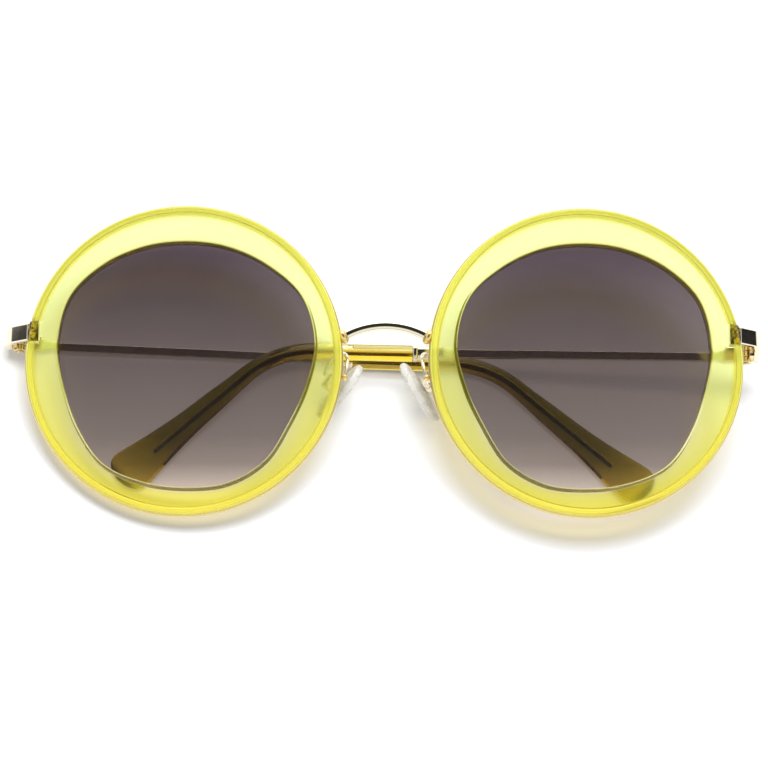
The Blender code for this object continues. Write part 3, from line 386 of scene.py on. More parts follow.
class Finishes(bpy.types.PropertyGroup):
    ring: tint("Ring plastic", "Clear yellow plastic of the rings", (0.91, 1.0, 0.48))
    # Its deeper yellow lower down is painted shade
    ring_edge: tint("Ring edge", "Deeper yellow lower down and at the edges", (0.93, 0.89, 0.075))
    bead: tint("Bead", "Milky yellow of the bead", (1.0, 0.99, 0.14))
    # Painted reflection: the brown of the upper wall round the lens
    ring_wall_reflection: tint("Ring wall", "Brown reflected in the wall round the lens", (0.07, 0.035, 0.006))
    lens_top: tint("Lens top", "Tint at the top of the lens", (0.100, 0.071, 0.078))
    lens_bottom: tint("Lens bottom", "Tint at the bottom of the lens", (1.0, 0.86, 0.72))
    metal: tint("Pale gold", "Pale gold plating", (0.93, 0.86, 0.70))
    rim: tint("Rims", "Deeper gold of the rims", (0.80, 0.65, 0.30))
    solder: tint("Solder", "Brass-coloured solder", (0.95, 0.73, 0.30))
    hinge: tint("Hinge gold", "Deeper gold of the hinge plates", (0.90, 0.74, 0.42))
    block: tint("Closing blocks", "Brass of the closing blocks", (0.92, 0.70, 0.22))
    # Painted shade on the lower side of the core wire inside the sleeves
    core: tint("Core wire", "Bare core wire inside the sleeves", (0.09, 0.07, 0.025))
    screw: tint("Screws", "Screw metal", (0.88, 0.80, 0.62))
    sleeve: tint("Sleeve plastic", "Clear amber plastic of the sleeves", (0.86, 0.60, 0.03))
    # Painted shade past the sleeve's bend: olive on its upper side, brown on its lower side
    olive: tint("Sleeve olive", "Deeper tint of the sleeve's upper side past its bend",
                (0.32, 0.28, 0.012))
    brown: tint("Sleeve brown", "Deeper tint of the sleeve's lower side past its bend",
                (0.46, 0.22, 0.006))
    paddle: tint("Paddles", "Olive amber of the paddles", (1.0, 0.80, 0.05))
    tip: tint("Paddle ends", "Deeper tint at the very ends of the paddles", (0.22, 0.18, 0.008))
    # Painted highlight: paler tint on the sleeve's upper side
    sleeve_highlight: tint("Sleeve edge", "Paler tint where the sleeve is thin", (1.0, 1.0, 0.58))
    pad: tint("Nose pads", "Clear silicone of the pads", (1.0, 0.985, 0.94))


class StageLight(bpy.types.PropertyGroup):
    sky: share("Sky", "Strength of the light from all round", 0.34)
    lamp: share("Lamp", "Strength of the soft lamp overhead", 1.32)
    floor: share("Floor", "Whiteness of the floor", 0.95)
    glow_through: share("Backdrop through plastic",
                        "How much the floor behind clear pieces is lifted towards white", 0.33)
    glow: share("Backdrop", "How much the floor is lifted towards white in the picture", 0.16)


def ring_sizes():
    return bpy.context.scene.sunglasses_rings


def temple_sizes():
    return bpy.context.scene.sunglasses_temples


def finishes():
    return bpy.context.scene.sunglasses_finishes


# Node trees

class Wiring:
    """Adds nodes to a tree and feeds their inputs with numbers or with other nodes."""

    def __init__(self, tree):
        self.tree = tree

    def add(self, kind, values=None, **settings):
        node = self.tree.nodes.new(kind)
        for key, value in settings.items():
            setattr(node, key, value)
        for key, value in (values or {}).items():
            self.feed(node.inputs[key], value)
        return node

    def feed(self, socket, value):
        if isinstance(value, bpy.types.NodeSocket):
            self.tree.links.new(value, socket)
        elif isinstance(value, bpy.types.Node):
            self.tree.links.new(value.outputs[0], socket)
        elif socket.type == "RGBA":
            socket.default_value = (*value[:3], 1.0)
        else:
            socket.default_value = value

    def math(self, operation, first, second=0.0):
        return self.add("ShaderNodeMath", {0: first, 1: second}, operation=operation).outputs[0]

    def along(self, vector, amount):
        return self.add("ShaderNodeVectorMath", {0: vector, "Scale": amount},
                        operation="SCALE").outputs[0]

    def both(self, first, second):
        return self.add("ShaderNodeVectorMath", {0: first, 1: second}, operation="ADD").outputs[0]


def new_form_tree(name, inputs):
    """A new Geometry Nodes tree with named inputs, its wiring, and its input sockets."""
    tree = bpy.data.node_groups.new(name, "GeometryNodeTree")
    tree.is_modifier = True
    face = tree.interface
    face.new_socket("Geometry", in_out="INPUT", socket_type="NodeSocketGeometry")
    for label, kind, default in inputs:
        socket = face.new_socket(label, in_out="INPUT", socket_type=kind)
        if default is not None:
            socket.default_value = default
    face.new_socket("Geometry", in_out="OUTPUT", socket_type="NodeSocketGeometry")
    wire = Wiring(tree)
    return tree, wire, wire.add("NodeGroupInput").outputs


def end_form_tree(wire, geometry, material):
    """Real geometry and its material, as the last steps of every tree."""
    real = wire.add("GeometryNodeRealizeInstances", {"Geometry": geometry})
    dressed = wire.add("GeometryNodeSetMaterial", {"Geometry": real, "Material": material})
    wire.add("NodeGroupOutput", {"Geometry": dressed})


def swept_tree():
    """Skins a row of stations. Each point is a section with its axes, half sizes and corners."""
    name = "Swept form"
    if name in bpy.data.node_groups:
        return bpy.data.node_groups[name]
    tree, wire, source = new_form_tree(name, [
        ("Points Round", "NodeSocketInt", 48), ("Sharp Edge", "NodeSocketFloat", SHARP_EDGE),
        ("Weld", "NodeSocketFloat", 0.000002), ("Material", "NodeSocketMaterial", None)])
    rows = wire.add("GeometryNodeAttributeDomainSize", {"Geometry": source["Geometry"]},
                    component="MESH").outputs["Point Count"]
    round_points = source["Points Round"]
    columns = wire.math("ADD", round_points, 1)
    grid = wire.add("GeometryNodeMeshGrid", {"Vertices X": rows, "Vertices Y": columns})
    index = wire.add("GeometryNodeInputIndex").outputs[0]
    row = wire.math("FLOOR", wire.math("DIVIDE", wire.math("ADD", index, 0.5), columns))
    column = wire.math("SUBTRACT", index, wire.math("MULTIPLY", row, columns))
    column = wire.math("MODULO", column, round_points)
    quarter_points = wire.math("DIVIDE", round_points, 4)
    quarter = wire.math("FLOOR", wire.math("DIVIDE", wire.math("ADD", column, 0.5), quarter_points))
    first = wire.math("MULTIPLY", quarter, quarter_points)
    within = wire.math("DIVIDE", wire.math("SUBTRACT", column, first),
                       wire.math("SUBTRACT", quarter_points, 1))
    angle = wire.math("MULTIPLY", wire.math("ADD", quarter, within), pi / 2)
    middle = wire.math("MULTIPLY", wire.math("ADD", quarter, 0.5), pi / 2)

    def at_row(attribute):
        value = wire.add("GeometryNodeInputNamedAttribute", {"Name": attribute},
                         data_type="FLOAT_VECTOR").outputs["Attribute"]
        return wire.add("GeometryNodeSampleIndex", {
            "Geometry": source["Geometry"], "Value": value, "Index": row},
            data_type="FLOAT_VECTOR", domain="POINT").outputs[0]

    def part(vector, axis):
        return wire.add("ShaderNodeSeparateXYZ", {0: vector}).outputs[axis]

    half = at_row("half")
    corner = at_row("corner")
    reach = []
    for axis, wave in (("X", "COSINE"), ("Y", "SINE")):
        flat = wire.math("SUBTRACT", part(half, axis), part(corner, axis))
        side = wire.math("SIGN", wire.math(wave, middle))
        curve = wire.math("MULTIPLY", part(corner, axis), wire.math(wave, angle))
        reach.append(wire.math("ADD", wire.math("MULTIPLY", flat, side), curve))
    place = wire.both(at_row("centre"), wire.both(
        wire.along(at_row("across"), reach[0]), wire.along(at_row("up"), reach[1])))
    moved = wire.add("GeometryNodeSetPosition", {"Geometry": grid, "Position": place})
    mapped = wire.add("GeometryNodeStoreNamedAttribute", {
        "Geometry": moved, "Name": "UVMap", "Value": grid.outputs["UV Map"]},
        data_type="FLOAT2", domain="CORNER")
    welded = wire.add("GeometryNodeMergeByDistance", {
        "Geometry": mapped, "Distance": source["Weld"]})
    smooth = wire.add("GeometryNodeSetShadeSmooth", {"Geometry": welded, "Shade Smooth": True})
    crease = wire.add("GeometryNodeInputMeshEdgeAngle").outputs["Unsigned Angle"]
    sharp = wire.add("FunctionNodeCompare", {0: crease, 1: source["Sharp Edge"]},
                     operation="GREATER_THAN", data_type="FLOAT").outputs[0]
    edged = wire.add("GeometryNodeSetShadeSmooth", {
        "Geometry": smooth, "Selection": sharp, "Shade Smooth": False}, domain="EDGE")
    end_form_tree(wire, edged, source["Material"])
    return tree


def seated_tree():
    """Sets a copy of one fastener at each point, turned to the point's axis."""
    name = "Seated fasteners"
    if name in bpy.data.node_groups:
        return bpy.data.node_groups[name]
    tree, wire, source = new_form_tree(name, [
        ("Fastener", "NodeSocketObject", None), ("Scale", "NodeSocketFloat", 1.0),
        ("Material", "NodeSocketMaterial", None)])
    axis = wire.add("GeometryNodeInputNamedAttribute", {"Name": "axis"},
                    data_type="FLOAT_VECTOR").outputs["Attribute"]
    heading = wire.add("FunctionNodeAlignRotationToVector", {"Vector": axis}, axis="Z")
    form = wire.add("GeometryNodeObjectInfo", {"Object": source["Fastener"]},
                    transform_space="ORIGINAL")
    copies = wire.add("GeometryNodeInstanceOnPoints", {
        "Points": source["Geometry"], "Instance": form.outputs["Geometry"],
        "Rotation": heading, "Scale": source["Scale"]})
    end_form_tree(wire, copies, source["Material"])
    return tree


def set_inputs(modifier, tree, values):
    """Sets a modifier's inputs by the identifiers of the sockets that carry these names."""
    for item in tree.interface.items_tree:
        if item.item_type == "SOCKET" and item.in_out == "INPUT" and item.name in values:
            modifier[item.identifier] = values[item.name]


# Meshes and pieces

def add_object(name, mesh):
    thing = bpy.data.objects.new(name, mesh)
    bpy.context.scene.collection.objects.link(thing)
    return thing


def mesh_from(name, verts, faces):
    mesh = bpy.data.meshes.new(name)
    mesh.from_pydata([tuple(v) for v in verts], [], faces)
    mesh.update()
    return mesh


def turn_outwards(mesh):
    shape = bmesh.new()
    shape.from_mesh(mesh)
    bmesh.ops.recalc_face_normals(shape, faces=shape.faces)
    shape.to_mesh(mesh)
    shape.free()
    return mesh


def settle(thing):
    """Turns what an object's modifiers make into its own plain mesh, with its faces outwards."""
    bpy.context.view_layer.update()
    graph = bpy.context.evaluated_depsgraph_get()
    mesh = bpy.data.meshes.new_from_object(thing.evaluated_get(graph),
                                           preserve_all_data_layers=True, depsgraph=graph)
    thing.modifiers.clear()
    thing.data = turn_outwards(mesh)
    mesh.name = thing.name
    if not mesh.polygons:
        raise RuntimeError(f"{thing.name} came out empty")
    return thing


def section(centre, across, up, half, corner=None):
    """One station of a swept form. Without corners it is an oval."""
    half = tuple(half)
    corner = half if corner is None else tuple(corner)
    return (Vector(centre), Vector(across), Vector(up), half, corner)


def shrunk(station, amount):
    centre, across, up, half, corner = station
    less = tuple(max(h - amount, 0.0) for h in half)
    tighter = tuple(min(max(c - amount * 0.5, 0.0), h) for c, h in zip(corner, less))
    return (centre, across, up, less, tighter)


def moved(station, step):
    return (station[0] + step, *station[1:])


def pole(station):
    """The station shrunk to a point, which closes a form."""
    return (*station[:3], (0.0, 0.0), (0.0, 0.0))


def capped(stations, bevel):
    """Closes both ends with a flat face and a small bevel."""
    closed = []
    ahead = (stations[1][0] - stations[0][0]).normalized() * bevel
    closed += [pole(stations[0]), shrunk(stations[0], bevel), moved(stations[0], ahead)]
    closed += stations[1:-1]
    back = (stations[-2][0] - stations[-1][0]).normalized() * bevel
    closed += [moved(stations[-1], back), shrunk(stations[-1], bevel), pole(stations[-1])]
    return closed


def store(mesh, name, kind, values):
    """Stores a number or a vector at each point of a mesh."""
    layer = mesh.attributes.new(name, kind, "POINT")
    field = "vector" if kind == "FLOAT_VECTOR" else "value"
    layer.data.foreach_set(field, np.array(values, np.float32).ravel())


def sweep(name, stations, material, points_round=48, sharp=SHARP_EDGE):
    """Makes a swept form from its stations with the Geometry Nodes tree."""
    mesh = mesh_from(name, [s[0] for s in stations], [])
    for item, label in enumerate(("centre", "across", "up", "half", "corner")):
        rows = [tuple(station[item]) for station in stations]
        store(mesh, label, "FLOAT_VECTOR", [row if len(row) == 3 else (*row, 0.0) for row in rows])
    thing = add_object(name, mesh)
    tree = swept_tree()
    modifier = thing.modifiers.new("Swept form", "NODES")
    modifier.node_group = tree
    set_inputs(modifier, tree, {
        "Points Round": points_round, "Sharp Edge": sharp, "Material": material})
    return dress(settle(thing), material)


def turned(name, outline, points_round=48):
    """A turned form round z, from (radius, height) points going up its outside."""
    stations = [section((0, 0, height), (1, 0, 0), (0, 1, 0), (radius, radius))
                for radius, height in outline]
    stations = [pole(stations[0]), *stations, pole(stations[-1])]
    return sweep(name, stations, None, points_round)


def seat_fasteners(name, form, places, material):
    """Sets copies of one fastener at (point, axis) places with the Geometry Nodes tree."""
    mesh = mesh_from(name, [point for point, _ in places], [])
    store(mesh, "axis", "FLOAT_VECTOR", [tuple(axis) for _, axis in places])
    thing = add_object(name, mesh)
    tree = seated_tree()
    modifier = thing.modifiers.new("Seated fasteners", "NODES")
    modifier.node_group = tree
    set_inputs(modifier, tree, {"Fastener": form, "Scale": 1.0, "Material": material})
    settle(thing)
    bpy.data.objects.remove(form)
    return thing


def ring_skin(name, loops, closed):
    """Skins equal loops of points, and caps both ends unless they close on themselves."""
    count = len(loops[0])
    verts = [point for loop in loops for point in loop]
    faces = []
    for i in range(len(loops) if closed else len(loops) - 1):
        here = i * count
        there = ((i + 1) % len(loops)) * count
        for k in range(count):
            after = (k + 1) % count
            faces.append((here + k, here + after, there + after, there + k))
    if not closed:
        faces.append(tuple(reversed(range(count))))
        faces.append(tuple(range(len(verts) - count, len(verts))))
    return turn_outwards(mesh_from(name, verts, faces))


def box_mesh(name, low, high, bevel=0.0):
    shape = bmesh.new()
    bmesh.ops.create_cube(shape, size=1.0)
    for vert in shape.verts:
        vert.co = Vector([low[i] + (vert.co[i] + 0.5) * (high[i] - low[i]) for i in range(3)])
    if bevel:
        bmesh.ops.bevel(shape, geom=list(shape.edges), offset=bevel, segments=3, profile=0.5,
                        affect="EDGES", clamp_overlap=True)
    mesh = bpy.data.meshes.new(name)
    bmesh.ops.recalc_face_normals(shape, faces=shape.faces)
    shape.to_mesh(mesh)
    shape.free()
    return mesh


def shape_with(thing, cutters, bevel=0.0):
    """Cuts or joins with EXACT Booleans, rounds the edges, and settles the result."""
    for cutter, operation in cutters:
        change = thing.modifiers.new(operation.lower(), "BOOLEAN")
        change.operation = operation
        change.solver = "EXACT"
        change.object = cutter
        cutter.hide_render = True
    if bevel:
        edge = thing.modifiers.new("edge rounding", "BEVEL")
        edge.width = bevel
        edge.segments = 3
        edge.limit_method = "ANGLE"
        edge.angle_limit = BEVEL_ANGLE
        edge.use_clamp_overlap = True
    settle(thing)
    for cutter, _ in cutters:
        bpy.data.objects.remove(cutter)
    return thing


def smooth_shade(thing, sharp=SHARP_EDGE):
    thing.data.shade_smooth()
    thing.data.set_sharp_from_angle(angle=sharp)
    return thing


def dress(thing, material):
    mesh = thing.data
    mesh.materials.clear()
    mesh.materials.append(material)
    mesh.polygons.foreach_set("material_index", [0] * len(mesh.polygons))
    return thing


def set_in_place(thing, place, body, slot, *nodes):
    """Puts a piece's place in its mesh, and ties it to its body and CAD nodes. Its material slot is
    not used.
    """
    thing.data.transform(place)
    thing.matrix_world = Matrix.Identity(4)
    if nodes:
        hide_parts(*nodes)
    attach(thing, body)
    return thing


def set_on_temple(thing, side, place, slot, part):
    """Puts a piece that was made along the temple on its folded temple."""
    temple = SIDES[side] + "_temple"
    set_in_place(thing, place @ hinge_place(side, folded_direction(side)), temple, slot,
                 f"{temple}_{part}")


def smooth_points(points, steps, closed=False):
    """Points on the smooth curve through the given ones."""
    rows = [Vector(p) for p in points]
    count = len(rows)
    curve = []
    for i in range(count if closed else count - 1):
        before = rows[(i - 1) % count] if closed or i > 0 else rows[0] * 2 - rows[1]
        start = rows[i]
        end = rows[(i + 1) % count]
        after = rows[(i + 2) % count] if closed or i + 2 < count else rows[-1] * 2 - rows[-2]
        for k in range(steps):
            t = k / steps
            curve.append(0.5 * (2 * start + (end - before) * t
                                + (2 * before - 5 * start + 4 * end - after) * t ** 2
                                + (3 * start - before - 3 * end + after) * t ** 3))
    if not closed:
        curve.append(rows[-1])
    return curve


def smooth_share(table, at):
    """Reads a table of (place, value) shares along the smooth curve through its rows."""
    rows = smooth_points([(a, b, 0.0) for a, b in table], 12)
    for start, end in zip(rows, rows[1:]):
        if at <= end.x:
            return start.y + (end.y - start.y) * (at - start.x) / max(end.x - start.x, 1e-9)
    return rows[-1].y


# Frames that the pieces are placed by

def insert_radius():
    rings = ring_sizes()
    return max(rings.opening_width, rings.opening_height) / 2 + rings.band


def rim_radius():
    return insert_radius() + RIM_PROUD


def ring_spacing():
    return 2 * insert_radius() + ring_sizes().gap


def block_outer():
    return sqrt(insert_radius() ** 2 - END_HEIGHT ** 2) + BLOCK_OVERHANG


def rim_middle():
    return RIM_SETBACK + ring_sizes().rim / 2


def ring_place(side):
    return Matrix.Translation((side * ring_spacing() / 2, 0, 0)) @ Matrix.Rotation(
        side * ring_sizes().wrap, 4, "Z")


def hinge_centre(side):
    across = ring_spacing() / 2 + block_outer() * cos(ring_sizes().wrap) + HINGE_REACH
    return Vector((side * across, HINGE_DEPTH, END_HEIGHT - HINGE_DROP[side]))


def open_direction():
    lean = temple_sizes().lean
    return Vector((0, cos(lean), -sin(lean)))


def folded_direction(side):
    temples = temple_sizes()
    away = temples.away_left if side > 0 else temples.away_right
    drop = temples.drop_left if side > 0 else temples.drop_right
    return Vector((-side * cos(away) * cos(drop), sin(away) * cos(drop), -sin(drop)))


def hinge_axis(side):
    return (open_direction().cross(folded_direction(side)) * side).normalized()


def hinge_place(side, along):
    axis = hinge_axis(side)
    turned_to = Matrix((along, axis.cross(along), axis)).transposed().to_4x4()
    return Matrix.Translation(hinge_centre(side)) @ turned_to


def front_place():
    """Where the upright front lies on the table, found from the two packed hinges."""
    axes = {}
    for side, label in SIDES.items():
        joint = JOINTS[label + "_temple_hinge"]
        axes[side] = (Vector(joint["pos_m"]), Vector(joint["axis"]).normalized() * -side)
    upright = [hinge_centre(1) - hinge_centre(-1), hinge_axis(1) + hinge_axis(-1)]
    lying = [axes[1][0] - axes[-1][0], axes[1][1] + axes[-1][1]]

    def basis(pair):
        x = pair[0].normalized()
        z = (pair[1] - x * pair[1].dot(x)).normalized()
        return Matrix((x, z.cross(x), z)).transposed()

    turned_to = basis(lying) @ basis(upright).inverted()
    middle = (axes[1][0] + axes[-1][0]) / 2
    start = turned_to @ ((hinge_centre(1) + hinge_centre(-1)) / 2)
    return Matrix.Translation(middle - start) @ turned_to.to_4x4()


def temple_point(side, along, outward, up):
    return Vector((along, -side * outward, up))


def temple_station(side, along, half, corner=None):
    """A section of the temple at a distance from the hinge, in the hinge frame."""
    temples = temple_sizes()
    bend = temples.bend_left if side > 0 else temples.bend_right
    trim = temples.bend_radius * tan(bend / 2)
    straight = temples.bend_at - trim
    arc = temples.bend_radius * bend
    bent = min(max(along - straight, 0.0), arc) / temples.bend_radius
    rest = max(along - straight - arc, 0.0)
    run = min(along, straight) + temples.bend_radius * sin(bent) + rest * cos(bent)
    fall = temples.bend_radius * (1 - cos(bent)) + rest * sin(bent)
    span = temples.length - temples.bow_start
    part = max(0.0, along - temples.bow_start) / span
    centre = temple_point(side, run, TEMPLE_LINE - temples.bow * part ** 2, -fall)
    tangent = temple_point(side, cos(bent), -2 * temples.bow * part / span, -sin(bent)).normalized()
    up = temple_point(side, sin(bent), 0, cos(bent))
    across = tangent.cross(up).normalized()
    return section(centre, across, up, half, corner)


def pad_place(side):
    pads = bpy.context.scene.sunglasses_pads
    frontal = pads.frontal_left if side > 0 else pads.frontal_right
    inset = pads.inset_left if side > 0 else pads.inset_right
    down = Vector((side * sin(frontal), 0, -cos(frontal)))
    forward = Vector((-side * sin(pads.splay), -cos(pads.splay), 0))
    forward = (forward - down * forward.dot(down)).normalized()
    out = down.cross(forward)
    if out.x * side < 0:
        out = out * -1
    turned_to = Matrix((down, out.cross(down), out)).transposed().to_4x4()
    across = ring_spacing() / 2 - rim_radius() - inset
    return Matrix.Translation((side * across, pads.depth, -pads.drop)) @ turned_to


def opening_curve(steps=12):
    rings = ring_sizes()
    control = [(rings.opening_width / 2 * a - OPENING_SHIFT,
                rings.opening_height / 2 * b - OPENING_DROP, 0) for a, b in OPENING_SHARES]
    curve = smooth_points(control, steps, closed=True)
    count = len(curve)
    outward = []
    for k in range(count):
        run = curve[(k + 1) % count] - curve[k - 1]
        outward.append(Vector((run.y, -run.x, 0)).normalized())
    return curve, outward


# Finishes

def get_material(name, fill, *values):
    """Finds a material, or makes it from the shader that a function wires up for it."""
    if name in bpy.data.materials:
        return bpy.data.materials[name]
    mat = bpy.data.materials.new(name)
    mat.use_nodes = True
    mat.node_tree.nodes.clear()
    wire = Wiring(mat.node_tree)
    out = wire.add("ShaderNodeOutputMaterial")
    wire.feed(out.inputs["Surface"], fill(wire, *values))
    return mat


def object_point(wire, scale=(1, 1, 1), offset=(0, 0, 0)):
    where = wire.add("ShaderNodeTexCoord").outputs["Object"]
    return wire.add("ShaderNodeMapping", {
        "Vector": where, "Scale": scale, "Location": offset}).outputs[0]


def piece_map(wire):
    """The piece's own map with its two parts: along or across the form, and round or up it."""
    uv = wire.add("ShaderNodeUVMap", uv_map="UVMap").outputs["UV"]
    parts = wire.add("ShaderNodeSeparateXYZ", {0: uv}).outputs
    return uv, parts["X"], parts["Y"]


def stored_value(wire, name):
    return wire.add("ShaderNodeAttribute", attribute_name=name,
                    attribute_type="GEOMETRY").outputs["Fac"]


def grain(wire, vector, scale, detail=3.0, roughness=0.55):
    return wire.add("ShaderNodeTexNoise", {
        "Vector": vector, "Scale": scale, "Detail": detail, "Roughness": roughness}).outputs["Fac"]


def blend(wire, fac, first, second):
    """Mixes two colours, which are the mix node's sockets 6 and 7."""
    mix = wire.add("ShaderNodeMix", data_type="RGBA")
    wire.feed(mix.inputs["Factor"], fac)
    wire.feed(mix.inputs[6], first)
    wire.feed(mix.inputs[7], second)
    return mix.outputs[2]


def ramp(wire, fac, stops):
    """A ramp of greys with (place, grey) stops."""
    node = wire.add("ShaderNodeValToRGB", {"Fac": fac})
    bar = node.color_ramp.elements
    while len(bar) < len(stops):
        bar.new(0.5)
    for element, (place, grey) in zip(bar, stops):
        element.position = place
        element.color = (grey, grey, grey, 1.0)
    return node.outputs["Color"]


def to_range(wire, value, low, high, start=0.0, end=1.0):
    """Spreads a value that runs from start to end over low to high."""
    return wire.add("ShaderNodeMapRange", {
        "Value": value, "From Min": start, "From Max": end,
        "To Min": low, "To Max": high}).outputs[0]


def bump(wire, height, strength, distance):
    return wire.add("ShaderNodeBump", {
        "Height": height, "Strength": strength, "Distance": distance})


def scaled(values, shares):
    return [v * k for v, k in zip(values, shares)]


def let_light_through(wire, shader, shadow):
    """Lamps shine through a clear piece with its tint, so its shadow is soft and coloured."""
    path = wire.add("ShaderNodeLightPath").outputs
    lighting = wire.math("MAXIMUM", path["Is Shadow Ray"], path["Is Diffuse Ray"])
    clear = wire.add("ShaderNodeBsdfTransparent", {"Color": shadow})
    return wire.add("ShaderNodeMixShader", {0: lighting, 1: shader, 2: clear})


def ring_plastic(wire):
    """Clear yellow plastic, deeper at its edges and, as painted shade, lower down, frosted at its
    back and milky in its bead. The wall round the lens has a painted brown reflection above, and a
    painted pale highlight below."""
    colours = finishes()
    where = object_point(wire)
    band, frost, milk, wall, pale = [stored_value(wire, name) for name in RING_VALUES]
    edge = ramp(wire, band, [(0.0, 0.9), (0.05, 0.3), (0.12, 0.0), (0.70, 0.0), (0.78, 0.5),
                             (0.81, 0.8), (0.90, 0.9), (1.0, 1.0)])
    height = wire.add("ShaderNodeSeparateXYZ", {0: where}).outputs["Y"]
    # Painted shade: the plastic and its bead deepen lower down
    lower = to_range(wire, height, 0.0, 1.0, 0.0, -0.026)
    cloud = to_range(wire, grain(wire, where, 90.0, 4.0), -0.05, 0.09)
    deep = wire.math("MAXIMUM", edge, wire.math("MULTIPLY", lower, 0.80))
    body = blend(wire, wire.math("ADD", deep, cloud), colours.ring, colours.ring_edge)
    bead = blend(wire, lower, colours.bead, scaled(colours.bead, BEAD_LOW_SHADE))
    colour = blend(wire, milk, body, bead)
    # Painted reflection: brown on the wall round the lens above; painted highlight: pale below
    colour = blend(wire, wall, colour, colours.ring_wall_reflection)
    colour = blend(wire, pale, colour, WALL_PAINTED_HIGHLIGHT)
    haze = wire.math("ADD", to_range(wire, grain(wire, where, 220.0), 0.02, 0.06),
                     wire.math("MULTIPLY", frost, 0.22))
    brink = wire.math("MULTIPLY", milk, ramp(wire, band, [(0.955, 0.0), (0.985, 1.0)]))
    clear = to_range(wire, frost, 1.0, 0.80)
    for closed, least in ((milk, 0.55), (brink, 0.0)):
        clear = wire.math("MULTIPLY", clear, to_range(wire, closed, 1.0, least))
    shader = wire.add("ShaderNodeBsdfPrincipled", {
        "Base Color": colour, "Roughness": haze, "IOR": 1.49, "Transmission Weight": clear,
        "Normal": bump(wire, grain(wire, where, 700.0, 2.0), 0.03, 0.00005)})
    return let_light_through(wire, shader, blend(wire, milk, RING_SHADOW, BEAD_SHADOW))


def lens_tint(wire):
    """Clear lens, its tint fading from the top to the bottom, with a faint coating."""
    colours = finishes()
    up = piece_map(wire)[2]
    fade = ramp(wire, up, [(0.0, 0.86), (0.05, 0.64), (0.1125, 0.36), (0.22, 0.24), (0.47, 0.155),
                           (0.675, 0.10), (0.80, 0.055), (0.95, 0.0)])
    mottle = to_range(wire, grain(wire, object_point(wire), 60.0, 2.0), -0.012, 0.012)
    colour = blend(wire, wire.math("ADD", fade, mottle), colours.lens_top, colours.lens_bottom)
    wipe = to_range(wire, grain(wire, object_point(wire, (1, 6, 1)), 300.0, 2.0), 0.004, 0.02)
    shader = wire.add("ShaderNodeBsdfPrincipled", {
        "Base Color": colour, "Roughness": wipe, "IOR": 1.5, "Transmission Weight": 1.0,
        "Coat Weight": 0.3, "Coat Roughness": 0.02, "Coat Tint": LENS_COAT})
    return let_light_through(wire, shader, blend(wire, 0.5, colour, LENS_SHADOW))


def metal_shader(wire, colour, rough, normal):
    return wire.add("ShaderNodeBsdfPrincipled", {
        "Base Color": colour, "Roughness": rough, "Metallic": 1.0, "Normal": normal})


def plated_tone(wire, worn, colour):
    return blend(wire, to_range(wire, worn, -0.25, 0.75), colour, scaled(colour, WORN_TINGE))


def plating(wire, colour, rough):
    """Polished plating with fine rubbing marks and slight wear in its tone."""
    worn = grain(wire, object_point(wire), 420.0, 5.0, 0.65)
    lines = grain(wire, object_point(wire, (9, 1, 3), (0.3, 0.1, 0.7)), 900.0, 2.0)
    finish = wire.math("ADD", to_range(wire, worn, rough * 0.7, rough * 1.3),
                       to_range(wire, lines, 0.0, 0.035))
    return metal_shader(wire, plated_tone(wire, worn, colour), finish,
                        bump(wire, lines, 0.05, 0.00002))


def plated(name, colour):
    return get_material(name, plating, colour, PLATING_ROUGH[name])


def pale_gold():
    return plated("pale_gold_plating", finishes().metal)


def solder_metal():
    return plated("brass_solder", finishes().solder)


def block_brass(wire):
    """Brass with bright and dark flecks, painted reflections for how the closing blocks look
    through the plastic.
    """
    colour = finishes().block
    fleck = grain(wire, object_point(wire), 1500.0, 2.0, 0.6)
    bright = ramp(wire, fleck, [(0.42, 0.0), (0.54, 1.0)])
    return metal_shader(wire, blend(wire, bright, scaled(colour, FLECK_DARK_REFLECTION), colour),
                        to_range(wire, fleck, 0.15, 0.35), bump(wire, fleck, 0.5, 0.0001))


def arm_plating(wire):
    """The pale gold of the arms. Inside the sleeves the core wire's lower side is dark, a painted
    shade.
    """
    colours = finishes()
    _, along, round_it = piece_map(wire)
    worn = grain(wire, object_point(wire), 420.0, 5.0, 0.65)
    tone = plated_tone(wire, worn, colours.metal)
    in_sleeve = ramp(wire, along, [(0.30, 0.0), (0.34, 1.0)])
    # Painted shade: inside the sleeves the core wire's lower side is dark
    upper = ramp(wire, round_it, [(0.0, 1.0), (0.53, 1.0), (0.57, 0.0), (0.93, 0.0), (0.97, 1.0)])
    colour = blend(wire, in_sleeve, tone, blend(wire, upper, colours.core, tone))
    finish = wire.math("ADD", to_range(wire, worn, 0.08, 0.15), wire.math("MULTIPLY", in_sleeve, 0.15))
    return metal_shader(wire, colour, finish, bump(wire, worn, 0.04, 0.00002))


